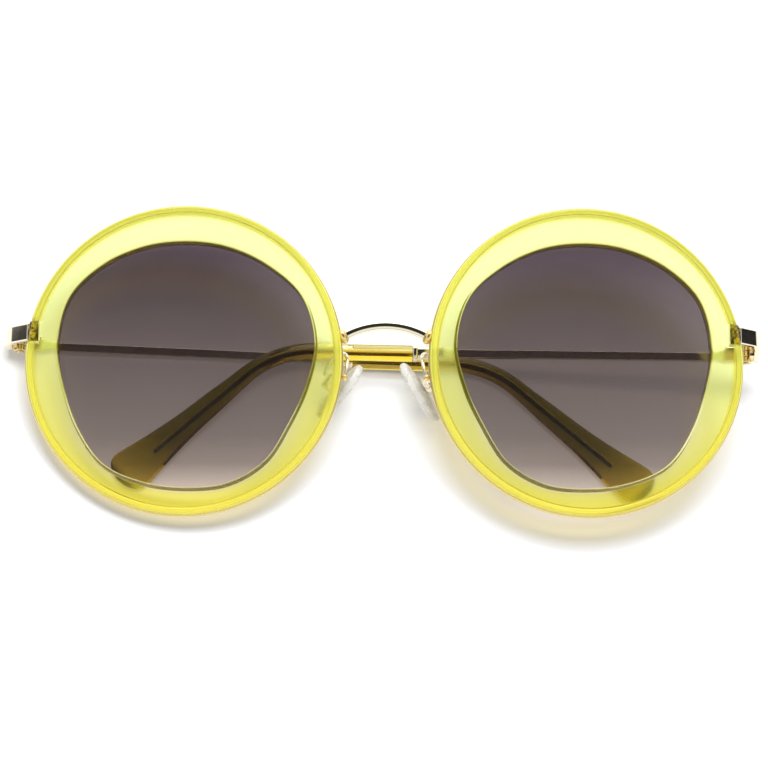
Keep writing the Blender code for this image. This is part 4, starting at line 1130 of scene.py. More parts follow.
def sleeve_plastic(wire):
    """Clear amber plastic with faint flow lines, paler on its upper side as a painted highlight,
    with painted shade past its bend, olive above and brown below, and deeper at the ends of its
    paddles."""
    colours = finishes()
    uv, along, round_it = piece_map(wire)
    flow = wire.add("ShaderNodeMapping", {"Vector": uv, "Scale": (26, 3, 1)}).outputs[0]
    streak = to_range(wire, grain(wire, flow, 2.2), -0.2, 0.9)
    body = blend(wire, streak, colours.sleeve, scaled(colours.sleeve, FLOW_TINGE))
    # Painted highlight: the sleeve's upper side is paler
    lit = ramp(wire, round_it, [(0.0, 0.0), (0.05, 1.0), (0.45, 1.0), (0.50, 0.0)])
    slim = blend(wire, lit, body, colours.sleeve_highlight)
    # Painted shade past the bend: olive on the upper side, brown on the lower side
    lower = ramp(wire, round_it, [(0.55, 0.0), (0.68, 1.0), (0.82, 1.0), (0.95, 0.0)])
    deep = blend(wire, lower, colours.olive, colours.brown)
    colour = slim
    for stops, next_colour in (((0.45, 0.60), deep), ((0.80, 0.93), colours.paddle),
                               ((0.905, 0.94), colours.tip)):
        reached = ramp(wire, along, [(stops[0], 0.0), (stops[1], 1.0)])
        colour = blend(wire, reached, colour, next_colour)
    rub = to_range(wire, grain(wire, object_point(wire), 500.0), 0.01, 0.05)
    shader = wire.add("ShaderNodeBsdfPrincipled", {
        "Base Color": colour, "Roughness": rub, "IOR": 1.45, "Transmission Weight": 1.0,
        "Normal": bump(wire, grain(wire, object_point(wire), 160.0, 2.0), 0.03, 0.0001)})
    return let_light_through(wire, shader, SLEEVE_SHADOW)


def pad_silicone(wire):
    """Clear soft silicone, faintly milky, with fine creases painted as darker lines (painted
    shade), and handling marks.
    """
    mark = grain(wire, object_point(wire), 900.0, 4.0, 0.6)
    line = ramp(wire, grain(wire, object_point(wire, (1.0, 0.35, 1.0)), 900.0, 3.0, 0.6),
                [(0.455, 0.0), (0.49, 1.0), (0.51, 1.0), (0.545, 0.0)])
    # Painted shade: darker grey along the creases
    crease = wire.math("MULTIPLY", line, ramp(wire, mark, [(0.47, 0.0), (0.60, 0.55)]))
    dents = grain(wire, object_point(wire, (1.6, 0.8, 1.6)), 1100.0, 3.0, 0.7)
    shader = wire.add("ShaderNodeBsdfPrincipled", {
        "Base Color": blend(wire, crease, finishes().pad, PAD_CREASE_SHADE),
        "Roughness": to_range(wire, mark, 0.04, 0.12), "IOR": 1.38, "Transmission Weight": 0.35,
        "Coat Weight": 0.6, "Coat Roughness": 0.06, "Normal": bump(wire, dents, 0.2, 0.0001)})
    return let_light_through(wire, shader, PAD_SHADOW)


# Operators, one for each piece or group of like pieces

class PieceOperator(bpy.types.Operator):
    """What all the piece operators share"""
    bl_options = {"REGISTER", "UNDO"}

    def execute(self, context):
        place = front_place()
        for side, label in SIDES.items():
            self.build(side, label, place)
        return {"FINISHED"}


class SUNGLASSES_OT_ring_inserts(PieceOperator):
    """Builds the two clear yellow ring inserts, with bead, grooves and block pockets"""
    bl_idname = "sunglasses.ring_inserts"
    bl_label = "Ring Inserts"

    def build(self, side, label, place):
        curve, outward = opening_curve()
        profile = self.profile(side, curve, outward)
        mesh = ring_skin(label, [loop for loop, _ in profile], closed=True)
        self.mark(mesh, curve, profile)
        insert = add_object(label + "_ring_plastic", mesh)
        half = BLOCK_TALL / 2 + BLOCK_ROOM
        reach = sorted((side * (block_outer() - BLOCK_WIDTH - BLOCK_ROOM),
                        side * (insert_radius() + CUT_PAST)))
        pocket = add_object(label + "_pocket", box_mesh(
            "pocket", (reach[0], rim_middle() - BLOCK_DEPTH / 2 - BLOCK_ROOM, END_HEIGHT - half),
            (reach[1], ring_sizes().thickness + CUT_PAST, END_HEIGHT + half)))
        shape_with(insert, [(pocket, "DIFFERENCE")])
        dress(smooth_shade(insert, radians(30)), get_material("ring_plastic", ring_plastic))
        set_in_place(insert, place @ ring_place(side), "front", "clear_yellow_plastic",
                     label + "_ring_insert")

    def profile(self, side, curve, outward):
        """Loops from the lens groove over the front, the edge and the back to the groove again,
        each with its share of the way from the opening to the edge."""
        rings = ring_sizes()
        radius = insert_radius()
        middle = Vector((-OPENING_SHIFT, -OPENING_DROP, 0))
        least = min((p - middle).length for p in curve)
        turns = [atan2(p.y, p.x) for p in curve]

        def inner(offset, depth):
            loop = [Vector((side * (p + o * offset).x, depth, (p + o * offset).y))
                    for p, o in zip(curve, outward)]
            return loop, offset / (radius - least)

        def outer(at, depth):
            loop = [Vector((side * at * cos(t), depth, at * sin(t))) for t in turns]
            return loop, (at - least) / (radius - least)

        lip = LENS_SETBACK - LENS_GROOVE_WIDTH / 2
        rows = [inner(0, lip), inner(0, lip * WALL_LOOP)]
        for k in range(ROUND_STEPS + 1):
            a = pi / 2 * k / ROUND_STEPS
            rows.append(inner(EDGE_ROUND * (1 - cos(a)), EDGE_ROUND * (1 - sin(a))))
        rows.append(inner(EDGE_ROUND * 2, 0))
        start = radius - rings.bead
        rows.append(outer(start - GROOVE_WIDTH * GROOVE_LOOP, 0))
        for k in range(GROOVE_STEPS + 1):
            t = k / GROOVE_STEPS
            rows.append(outer(start - GROOVE_WIDTH * (1 - t), GROOVE_DEPTH * sin(pi * t)))
        for k in range(1, BEAD_STEPS + 1):
            t = sin(pi / 4 * k / BEAD_STEPS) / sin(pi / 4)
            crown = rings.bead_proud * sin(pi * min(t / CROWN_END, 1.0))
            fall = max(0.0, t - FALL_START) / (1 - FALL_START)
            rows.append(outer(start + (radius - start) * t,
                              EDGE_ROUND * fall ** FALL_POWER - crown))
        seat = (RIM_SETBACK - RIM_ROOM, RIM_SETBACK + rings.rim + RIM_ROOM)
        rows += [outer(radius, seat[0]), outer(radius - RIM_SEAT, seat[0]),
                 outer(radius - RIM_SEAT, seat[1]), outer(radius, seat[1])]
        back = rings.thickness
        for k in range(BACK_ROUND_STEPS + 1):
            a = pi / 2 * k / BACK_ROUND_STEPS
            rows.append(outer(radius - EDGE_ROUND * (1 - cos(a)), back - EDGE_ROUND * (1 - sin(a))))
        first, last = rows[-1], inner(EDGE_ROUND, back)
        for k in range(1, BACK_STEPS):
            t = k / BACK_STEPS
            rows.append(([p.lerp(q, t) for p, q in zip(first[0], last[0])],
                         first[1] + (last[1] - first[1]) * t))
        for k in range(BACK_ROUND_STEPS + 1):
            a = pi / 2 * k / BACK_ROUND_STEPS
            rows.append(inner(EDGE_ROUND * (1 - sin(a)), back - EDGE_ROUND / 2 * (1 - cos(a))))
        rows += [inner(0, LENS_SETBACK + LENS_GROOVE_WIDTH / 2),
                 inner(LENS_GROOVE_DEPTH, LENS_SETBACK)]
        return rows

    def mark(self, mesh, curve, profile):
        """Stores what the plastic's colour and finish follow, its painted wall reflection and
        highlight
        among them: a value for each row of the profile, times one for each point round the ring."""
        radius = insert_radius()
        bands = np.array([band for _, band in profile])
        depths = np.array([loop[0].y for loop, _ in profile]) / ring_sizes().thickness
        wall = [1.0, 1.0] + [cos(pi / 2 * k / ROUND_STEPS) for k in range(ROUND_STEPS + 1)]
        # The last rows are the back's inner rounding and the two of the lens groove
        front_rows, back_rows = len(wall), BACK_ROUND_STEPS + 1 + 2
        between_rows = len(profile) - front_rows - back_rows
        wall += [0.0] * (between_rows + back_rows)
        pale = [1.0] * front_rows + [PALE_LIP] + [0.0] * (between_rows - 1) + [1.0] * back_rows
        all_round = np.ones(len(curve))
        past_block = []
        for p in curve:
            t = atan2(p.y, p.x)
            past = (abs(radius * sin(t) - END_HEIGHT) - BLOCK_TALL / 2) / BLOCK_FADE
            past_block.append(min(max(past, 0.0), 1.0) if cos(t) > 0 else 1.0)
        # The wall gets its painted brown reflection above this height and its painted highlight
        # below it
        above = np.clip([(p.y - WALL_PALE) / WALL_FADE for p in curve], 0.0, 1.0)
        values = {"band": (bands, all_round), "frost": (2.5 * depths - 1.0, all_round),
                  "milk": ((bands - MILK_START) / MILK_FADE, past_block),
                  "wall": (wall, above), "pale": (pale, 1.0 - above)}
        for name in RING_VALUES:
            rows, points = values[name]
            store(mesh, name, "FLOAT", np.outer(np.clip(rows, 0.0, 1.0), points))


class SUNGLASSES_OT_lenses(PieceOperator):
    """Builds the two domed lenses, bevelled to sit in the ring inserts"""
    bl_idname = "sunglasses.lenses"
    bl_label = "Lenses"

    def build(self, side, label, place):
        rings = ring_sizes()
        curve, outward = opening_curve()
        middle = Vector((-OPENING_SHIFT, -OPENING_DROP, 0))
        bevel = LENS_GROOVE_WIDTH / 2 - LENS_ROOM

        def loop(offset, depth, share_out=1.0):
            points = []
            for p, o in zip(curve, outward):
                edge = middle + (p + o * (offset - LENS_ROOM) - middle) * share_out
                points.append(Vector((side * edge.x, depth, edge.y)))
            return points

        shares = [LENS_POLE] + [k / DOME_STEPS for k in range(1, DOME_STEPS + 1)]
        front = LENS_SETBACK - rings.lens / 2
        back = LENS_SETBACK + rings.lens / 2
        loops = [loop(0, front - rings.dome * (1 - s ** 2), s) for s in shares]
        loops += [loop(0, LENS_SETBACK - bevel), loop(LENS_GROOVE_DEPTH, LENS_SETBACK - LENS_FLAT),
                  loop(LENS_GROOVE_DEPTH, LENS_SETBACK + LENS_FLAT), loop(0, LENS_SETBACK + bevel)]
        loops += [loop(0, back - rings.dome * (1 - s ** 2), s) for s in reversed(shares)]
        mesh = ring_skin(label, loops, closed=False)
        uv = mesh.uv_layers.new(name="UVMap")
        wide = rings.opening_width + 2 * LENS_GROOVE_DEPTH
        tall = rings.opening_height + 2 * LENS_GROOVE_DEPTH
        for corner in mesh.loops:
            at = mesh.vertices[corner.vertex_index].co
            uv.data[corner.index].uv = (at.x / wide + 0.5, (at.z + OPENING_DROP) / tall + 0.5)
        lens = smooth_shade(add_object(label + "_graded_lens", mesh), radians(25))
        dress(lens, get_material("graded_lens", lens_tint))
        set_in_place(lens, place @ ring_place(side), "front", "tinted_lens", label + "_lens")


class SUNGLASSES_OT_rims(PieceOperator):
    """Builds the two split metal rims, swept round the inserts"""
    bl_idname = "sunglasses.rims"
    bl_label = "Rims"

    def build(self, side, label, place):
        outer = rim_radius() - SHAVE
        inner = insert_radius() - RIM_SEAT + RIM_ROOM
        middle = (outer + inner) / 2
        lift = BLOCK_TALL / 2 + SEAM + RIM_PROUD
        start = asin((END_HEIGHT + lift) / middle)
        end = 2 * pi + asin((END_HEIGHT - lift) / middle)
        half = ((outer - inner) / 2, ring_sizes().rim / 2)
        round_off = (half[0] * RIM_CORNER[0], min(half[1] * RIM_CORNER[1], RIM_ROUND))
        stations = []
        for k in range(RIM_STEPS + 1):
            a = start + (end - start) * k / RIM_STEPS
            out = Vector((side * cos(a), 0, sin(a)))
            at = out * middle + Vector((0, rim_middle(), 0))
            stations.append(section(at, out, (0, 1, 0), half, round_off))
        rim = sweep(label + "_rim_band", capped(stations, END_BEVEL),
                    plated("rim_gold", finishes().rim), 32, SOFT_EDGE)
        set_in_place(rim, place @ ring_place(side), "front", "pale_gold_metal", label + "_rim")


class SUNGLASSES_OT_closing_blocks(PieceOperator):
    """Builds the two halves of each closing block, cut for their screw"""
    bl_idname = "sunglasses.closing_blocks"
    bl_label = "Closing Blocks"

    def build(self, side, label, place):
        reach = sorted((side * (block_outer() - BLOCK_WIDTH), side * block_outer()))
        near = rim_middle() - BLOCK_DEPTH / 2
        far = rim_middle() + BLOCK_DEPTH / 2
        axis = Matrix.Translation((side * (block_outer() - BLOCK_WIDTH / 2), rim_middle(), 0))
        hole = BLOCK_SCREW / 2 + SCREW_ROOM
        sink = BLOCK_HEAD / 2 + SCREW_ROOM
        split = BLOCK_SPLIT / 2
        low = END_HEIGHT - BLOCK_TALL / 2
        high = END_HEIGHT + BLOCK_TALL / 2
        halves = {
            "upper": ((END_HEIGHT + split, high), [(hole, END_HEIGHT, high - HEAD_TALL)]),
            "lower": ((low, END_HEIGHT - split), [
                (hole, low - DRILL_PAST, END_HEIGHT),
                (sink, low - DRILL_PAST, low + HEAD_TALL + SCREW_ROOM)]),
        }
        for which, (span, holes) in halves.items():
            block = add_object(f"{label}_block_{which}", box_mesh(
                which, (reach[0], near, span[0]), (reach[1], far, span[1])))
            cutters = []
            for radius, bottom, top in holes:
                drill = turned(f"{label}_{which}_drill", [(radius, bottom), (radius, top)], 32)
                drill.data.transform(axis)
                cutters.append((drill, "DIFFERENCE"))
            edge = sqrt(block_outer() ** 2 + END_HEIGHT ** 2)
            outline = turned(f"{label}_{which}_outline",
                             [(edge, -OUTLINE_REACH), (edge, OUTLINE_REACH)], 256)
            outline.data.transform(Matrix.Rotation(pi / 2, 4, "X"))
            cutters.append((outline, "INTERSECT"))
            shape_with(block, cutters, BLOCK_BEVEL)
            dress(smooth_shade(block), get_material("block_brass", block_brass))
            set_in_place(block, place @ ring_place(side), "front", "pale_gold_metal",
                         f"{label}_rim_lock_{which}")


class SUNGLASSES_OT_end_pieces(PieceOperator):
    """Builds the flat bars that run from the closing blocks back to the hinges"""
    bl_idname = "sunglasses.end_pieces"
    bl_label = "End Pieces"

    def build(self, side, label, place):
        ring = ring_place(side)
        start = ring @ Vector((side * block_outer(), rim_middle(), END_HEIGHT))
        butt = hinge_place(side, open_direction()) @ temple_point(side, -SEAM, TEMPLE_LINE, 0)
        corner = Vector((butt.x, start.y + abs(butt.x - start.x) * tan(BAR_SLANT), start.z))
        into = (start - corner).normalized()
        away = (butt - corner).normalized()
        trim = BAR_BEND * tan((pi / 2 - BAR_SLANT) / 2)
        bend_start, bend_end = corner + into * trim, corner + away * trim
        route = [(start + into * END_STUB, into * -1), (start, into * -1)]
        for k in range(BAR_BEND_STEPS + 1):
            t = k / BAR_BEND_STEPS
            at = (1 - t) ** 2 * bend_start + 2 * t * (1 - t) * corner + t ** 2 * bend_end
            route.append((at, ((1 - t) * (into * -1) + t * away).normalized()))
        route += [(butt.lerp(bend_end, k / 6), away) for k in (5, 4, 3, 2, 1)]
        route.append((butt, open_direction()))
        stations = []
        for k, (at, along) in enumerate(route):
            part = k / (len(route) - 1)
            up = (Vector((0, 0, 1)) * (1 - part) + hinge_axis(side) * part).normalized()
            across = along.cross(up).normalized()
            stations.append(section(at, across, across.cross(along).normalized() * -1,
                                    (BAR_THICK / 2, BAR_TALL / 2), (BAR_CORNER, BAR_CORNER)))
        bar = sweep(label + "_end_bar", capped(stations, BAR_BEVEL), pale_gold(), 48, FIRM_EDGE)
        set_in_place(bar, place, "front", "pale_gold_metal", label + "_end_piece")


class SUNGLASSES_OT_hinges(PieceOperator):
    """Builds both halves of each temple hinge, with their knuckles round the screw"""
    bl_idname = "sunglasses.hinges"
    bl_label = "Hinges"

    def build(self, side, label, place):
        top = HINGE_TALL / 2
        middle = KNUCKLE_TALL / 2
        outer = [(-top, KNUCKLE_TALL - top), (top - KNUCKLE_TALL, top)]
        centre = [(-middle, middle)]
        across = sorted((-side * (BAR_INNER - SEAM - PLATE_THICK), -side * (BAR_INNER - SEAM)))
        halves = (("front", -FRONT_PLATE, 0, outer, centre, open_direction(), "front"),
                  ("temple", 0, TEMPLE_PLATE, centre, outer, folded_direction(side),
                   label + "_temple"))
        for which, start, end, own, others, heading, body in halves:
            plate = add_object(f"{label}_{which}_hinge_leaf", box_mesh(
                which, (start, across[0], -PLATE_TALL / 2), (end, across[1], PLATE_TALL / 2)))
            cutters = []
            radius = KNUCKLE_RADIUS + KNUCKLE_ROOM
            for low, high in others:
                outline = [(radius, low - KNUCKLE_GAP), (radius, high + KNUCKLE_GAP)]
                cutters.append((turned("room", outline, 64), "DIFFERENCE"))
            soft = KNUCKLE_SOFT
            for low, high in own:
                outline = [(KNUCKLE_RADIUS - soft, low), (KNUCKLE_RADIUS, low + soft),
                           (KNUCKLE_RADIUS, high - soft), (KNUCKLE_RADIUS - soft, high)]
                cutters.append((turned("knuckle", outline, 64), "UNION"))
            bore = HINGE_SCREW / 2 + SCREW_ROOM
            drill = turned("drill", [(bore, -HINGE_TALL), (bore, HINGE_TALL)])
            shape_with(plate, [*cutters, (drill, "DIFFERENCE")])
            dress(smooth_shade(plate, radians(32)), plated("hinge_gold", finishes().hinge))
            set_in_place(plate, place @ hinge_place(side, heading), body, "pale_gold_metal",
                         f"{label}_{which}_hinge")


def screw_form(name, head, shank, head_tall, low, high, slot):
    """A screw up z with its head on top: chamfered head, slot, shank with a chamfered tip."""
    soft = min(END_BEVEL, head_tall / 3)
    form = turned(name, [(shank - soft, low), (shank, low + soft), (shank, high), (head, high),
                         (head, high + head_tall - soft), (head - soft, high + head_tall)])
    blade = add_object("blade", box_mesh(
        "blade", (-head - soft, -slot / 2, high + head_tall * SLOT_FLOOR),
        (head + soft, slot / 2, high + head_tall * 2)))
    shape_with(form, [(blade, "DIFFERENCE")])
    return smooth_shade(form)


class SUNGLASSES_OT_screws(PieceOperator):
    """Seats the hinge, closing block and pad screws"""
    bl_idname = "sunglasses.screws"
    bl_label = "Screws"

    def execute(self, context):
        place = front_place()
        metal = plated("screw_metal", finishes().screw)
        top = HINGE_TALL / 2 + KNUCKLE_GAP
        tall = BLOCK_TALL / 2
        wide = STEM_WIDE / 2 + BOX_ROOM + BOX_WALL + SEAM
        height = BOX_STANDOFF + STEM_TALL / 2

        def in_block(side):
            across = side * (block_outer() - BLOCK_WIDTH / 2)
            return ring_place(side) @ Matrix.Translation((across, rim_middle(), END_HEIGHT))

        kinds = [
            ("hinge", (HINGE_HEAD / 2, HINGE_SCREW / 2, HEAD_TALL,
                       -HINGE_TALL / 2 - HINGE_SCREW_TAIL, top, HINGE_SLOT),
             [hinge_place(s, open_direction()) for s in SIDES], (0, 0, 1), "hinge_screw"),
            ("block", (BLOCK_HEAD / 2, BLOCK_SCREW / 2, HEAD_TALL,
                       HEAD_TALL - tall, tall - HEAD_TALL, BLOCK_SLOT),
             [in_block(s) for s in SIDES], (0, 0, -1), "rim_lock_screw"),
            ("pad", (PAD_HEAD / 2, PAD_SCREW / 2, PAD_HEAD_TALL, -wide, wide, PAD_SLOT),
             [pad_place(s) @ Matrix.Translation((0, 0, height)) for s in SIDES], (0, -1, 0),
             "pad_screw"),
        ]
        for kind, sizes, seats, axis, node in kinds:
            form = screw_form(kind + "_screw_form", *sizes)
            places = []
            for seat in seats:
                spot = place @ seat
                places.append((spot.translation, (spot.to_3x3() @ Vector(axis)).normalized()))
            screws = seat_fasteners(kind + "_screws", form, places, metal)
            dress(smooth_shade(screws), metal)
            set_in_place(screws, Matrix.Identity(4), "front", "screw_steel",
                         *[f"{label}_{node}" for label in SIDES.values()])
        return {"FINISHED"}


class SUNGLASSES_OT_temple_arms(PieceOperator):
    """Builds the flat temple arms and their core wires"""
    bl_idname = "sunglasses.temple_arms"
    bl_label = "Temple Arms"

    def build(self, side, label, place):
        temples = temple_sizes()
        bar = ((temples.arm_thick / 2, temples.arm_tall / 2), (ARM_CORNER, ARM_CORNER))
        core = ((CORE / 2, CORE / 2), (CORE / 2, CORE / 2))
        neck = temples.ferrule + FERRULE_LONG

        def between(first, second, t):
            t = t * t * (3 - 2 * t)
            return tuple(tuple(a + (b - a) * t for a, b in zip(p, q))
                         for p, q in zip(first, second))

        taper, bar_start = ARM_TAPER
        thin_start, thin_end = neck - CORE_TAPER, neck + CORE_TAPER
        end = temples.length - temples.core_short
        rows = [(along, BUTT) for along in ARM_BUTT]
        rows += [(taper + (bar_start - taper) * k / TAPER_STEPS,
                  between(BUTT, bar, k / TAPER_STEPS)) for k in range(TAPER_STEPS + 1)]
        rows += [(bar_start + (thin_start - bar_start) * k / BAR_STEPS, bar)
                 for k in range(1, BAR_STEPS + 1)]
        rows += [(thin_start + (thin_end - thin_start) * k / THINNING_STEPS,
                  between(bar, core, k / THINNING_STEPS)) for k in range(1, THINNING_STEPS + 1)]
        rows += [(thin_end + (end - thin_end) * k / CORE_STEPS, core)
                 for k in range(1, CORE_STEPS + 1)]
        stations = [temple_station(side, along, *shape) for along, shape in rows]
        arm = sweep(label + "_arm_bar", capped(stations, END_BEVEL),
                    get_material("arm_plating", arm_plating), 32, FIRM_EDGE)
        set_on_temple(arm, side, place, "pale_gold_metal", "arm")


class SUNGLASSES_OT_ferrules(PieceOperator):
    """Builds the ferrules and collars where the sleeves start"""
    bl_idname = "sunglasses.ferrules"
    bl_label = "Ferrules"

    def build(self, side, label, place):
        temples = temple_sizes()
        start = temples.ferrule
        neck = start + FERRULE_LONG
        end = neck + COLLAR_LONG
        bore = ((temples.arm_thick / 2 + FERRULE_SPARE + FERRULE_ROOM,
                 temples.arm_tall / 2 + FERRULE_ROOM), (BORE_CORNER, BORE_CORNER))
        soft, tip = FERRULE_SOFT, FERRULE_SOFT * TIP_SHARE

        def less(shape, amount):
            return tuple(h - amount for h in shape[0]), shape[1]

        rows = [(start, bore), (start, less(TUBE, soft)), (start + tip, less(TUBE, tip)),
                (start + soft, TUBE), (neck - END_BEVEL, TUBE), (neck, TUBE),
                (neck, less(COLLAR, soft)), (neck + tip, less(COLLAR, tip)),
                (neck + soft, COLLAR), (end - soft, COLLAR), (end - tip, less(COLLAR, tip)),
                (end, less(COLLAR, soft)), (end, bore), (neck, bore), (start, bore)]
        stations = [temple_station(side, along, *shape) for along, shape in rows]
        ferrule = sweep(label + "_ferrule_tube", stations, pale_gold(), 48, FIRM_EDGE)
        set_on_temple(ferrule, side, place, "pale_gold_metal", "ferrule")


class SUNGLASSES_OT_sleeves(PieceOperator):
    """Builds the clear amber sleeves, widening into paddles behind the ears"""
    bl_idname = "sunglasses.sleeves"
    bl_label = "Sleeves"

    def build(self, side, label, place):
        temples = temple_sizes()
        start = temples.ferrule + (FERRULE_LONG + COLLAR_LONG) + SEAM
        length = temples.length - start
        bore_end = temples.length - temples.core_short - MOULDED_IN
        bore = CORE / 2 - MOULDED_IN
        stations = [
            temple_station(side, bore_end + (start - bore_end) * k / CORE_STEPS, (bore, bore))
            for k in range(CORE_STEPS + 1)]
        stations.insert(0, pole(stations[0]))

        ends = ((temples.sleeve_thick, temples.paddle_thick),
                (temples.sleeve_tall, temples.paddle_tall))

        def outer(along, shrink, less=0.0):
            wide = smooth_share(SLEEVE_SHARES, (along - start) / length)
            half = [(slim + (full - slim) * wide) / 2 * shrink - less - SHAVE
                    for slim, full in ends]
            return temple_station(side, along, half, scaled(half, SLEEVE_ROUNDING))

        soft, tip = SLEEVE_SOFT, SLEEVE_SOFT * TIP_SHARE
        stations += [outer(start, 1.0, soft), outer(start + tip, 1.0, tip),
                     outer(start + soft, 1.0)]
        body = length - temples.tip
        for k in range(1, SLEEVE_STEPS + 1):
            stations.append(outer(start + soft + (body - soft) * k / SLEEVE_STEPS, 1.0))
        for k in range(1, TIP_STEPS + 1):
            a = pi / 2 * k / TIP_STEPS
            stations.append(outer(temples.length - temples.tip * (1 - sin(a)), max(cos(a), 0.0)))
        sleeve = sweep(label + "_amber_sleeve", stations,
                       get_material("sleeve_plastic", sleeve_plastic), 64, SOFT_EDGE)
        set_on_temple(sleeve, side, place, "clear_amber_plastic", "sleeve")


class SUNGLASSES_OT_bridge(PieceOperator):
    """Builds the arched bridge bar and the solder at its ends"""
    bl_idname = "sunglasses.bridge"
    bl_label = "Bridge"

    def execute(self, context):
        sizes = context.scene.sunglasses_bridge
        place = front_place()
        foot = ring_spacing() / 2 - sqrt(rim_radius() ** 2 - sizes.foot ** 2)
        half_span = foot + BRIDGE_SINK
        radius = (half_span ** 2 + sizes.rise ** 2) / (2 * sizes.rise)
        reach = asin(half_span / radius)
        depth = rim_middle() - (ring_spacing() / 2 - foot) * sin(ring_sizes().wrap)

        def at(angle, half):
            height = sizes.foot + sizes.rise - radius * (1 - cos(angle))
            return section((radius * sin(angle), depth, height), (0, 1, 0),
                           (sin(angle), 0, cos(angle)), half, (half[0], half[1] * BRIDGE_CORNER))

        stations = []
        for k in range(BRIDGE_STEPS + 1):
            angle = reach * (2 * k / BRIDGE_STEPS - 1)
            flare = 1 + BRIDGE_FLARE * abs(angle / reach) ** FLARE_POWER
            stations.append(at(angle, (sizes.thick / 2 * flare, sizes.tall / 2 * flare)))
        bar = sweep("bridge_bar", capped(stations, BRIDGE_BEVEL), pale_gold(), 48, SOFT_EDGE)
        set_in_place(bar, place, "front", "pale_gold_metal", "bridge")
        slim, low = sizes.thick / 2 * SOLDER_THIN, sizes.tall / 2 * SOLDER_THIN
        for side, label in SIDES.items():
            stations = []
            for k in range(SOLDER_STEPS + 1):
                t = k / SOLDER_STEPS
                angle = side * reach * (1 + SOLDER_PAST - SOLDER_LONG * t)
                swell = sin(pi * (0.08 + 0.92 * t)) ** 0.6 if t < 1 else 0.0
                stations.append(at(angle, (slim + (sizes.blob - slim) * swell,
                                           low + (sizes.blob * SOLDER_TALL - low) * swell)))
            stations = [pole(stations[0]), *stations, pole(stations[-1])]
            blob = sweep(label + "_bridge_solder", stations, solder_metal(), 32, SOLDER_EDGE)
            set_in_place(blob, place, "front", "pale_gold_metal")
        return {"FINISHED"}


def pad_drill(reach):
    """The drill for the cross screw of a pad's stem and box."""
    bore = PAD_SCREW / 2 + SCREW_ROOM
    drill = turned("drill", [(bore, -reach), (bore, reach)], 32)
    drill.data.transform(Matrix.Translation((0, 0, BOX_STANDOFF + STEM_TALL / 2))
                         @ Matrix.Rotation(pi / 2, 4, "X"))
    return drill


class SUNGLASSES_OT_nose_pads(PieceOperator):
    """Builds the clear nose pads with their stems"""
    bl_idname = "sunglasses.nose_pads"
    bl_label = "Nose Pads"

    def build(self, side, label, place):
        pads = bpy.context.scene.sunglasses_pads
        half = [Vector((a * pads.length / 2, b * pads.width / 2, 0)) for a, b in PAD_SHARES]
        mirrored = [Vector((p.x, -p.y, 0)) for p in reversed(half[1:-1])]
        outline = smooth_points(half + mirrored, 5, closed=True)
        wide = pads.width / 2
        centre = wide * PAD_CENTRE
        thick = pads.thickness
        soft = PAD_SOFT

        def loop(inset, height):
            k = 1 - inset / wide
            return [Vector((p.x * k, p.y * k, height)) for p in outline]

        loops = [loop(centre, -thick), loop(wide * 0.5, -thick)]
        for k in range(PAD_ROUND_STEPS + 1):
            a = pi / 2 * k / PAD_ROUND_STEPS
            loops.append(loop(soft * (1 - sin(a)), -thick + soft * (1 - cos(a))))
        for k in range(1, PAD_ROUND_STEPS + 1):
            a = pi / 2 * k / PAD_ROUND_STEPS
            loops.append(loop(soft * (1 - cos(a)), -thick / 2 + (thick / 2 - PAD_FACE) * sin(a)))
        for k in range(1, PAD_FACE_STEPS + 1):
            t = k / PAD_FACE_STEPS
            loops.append(loop(soft + (centre - soft) * t,
                              PAD_FACE * sin(pi / 2 * min(1, t * 1.5)) - PAD_FACE))
        pad = add_object(label + "_silicone_pad", ring_skin(label, loops, closed=False))
        stem = add_object("stem", box_mesh(
            "stem", (-STEM_LONG / 2, -STEM_WIDE / 2, -soft),
            (STEM_LONG / 2, STEM_WIDE / 2, BOX_STANDOFF + STEM_TALL), STEM_BEVEL))
        shape_with(pad, [(stem, "UNION"), (pad_drill(wide), "DIFFERENCE")])
        dress(smooth_shade(pad, radians(35)), get_material("pad_silicone", pad_silicone))
        set_in_place(pad, place @ pad_place(side), "front", "clear_silicone", label + "_nose_pad")


class SUNGLASSES_OT_pad_boxes(PieceOperator):
    """Builds the small metal boxes that hold the pads' stems"""
    bl_idname = "sunglasses.pad_boxes"
    bl_label = "Pad Boxes"

    def build(self, side, label, place):
        room = BOX_ROOM + BOX_WALL
        long, wide = STEM_LONG / 2 + room, STEM_WIDE / 2 + room
        top = BOX_STANDOFF + STEM_TALL + room
        box = add_object(label + "_stem_box", box_mesh(
            "box", (-long, -wide, BOX_STANDOFF), (long, wide, top)))
        hollow = add_object("hollow", box_mesh(
            "hollow", (BOX_WALL - long, BOX_WALL - wide, -CUT_PAST),
            (long - BOX_WALL, wide - BOX_WALL, top - BOX_WALL)))
        shape_with(box, [(hollow, "DIFFERENCE"), (pad_drill(wide + CUT_PAST), "DIFFERENCE")],
                   END_BEVEL)
        dress(smooth_shade(box), pale_gold())
        set_in_place(box, place @ pad_place(side), "front", "pale_gold_metal", label + "_pad_box")


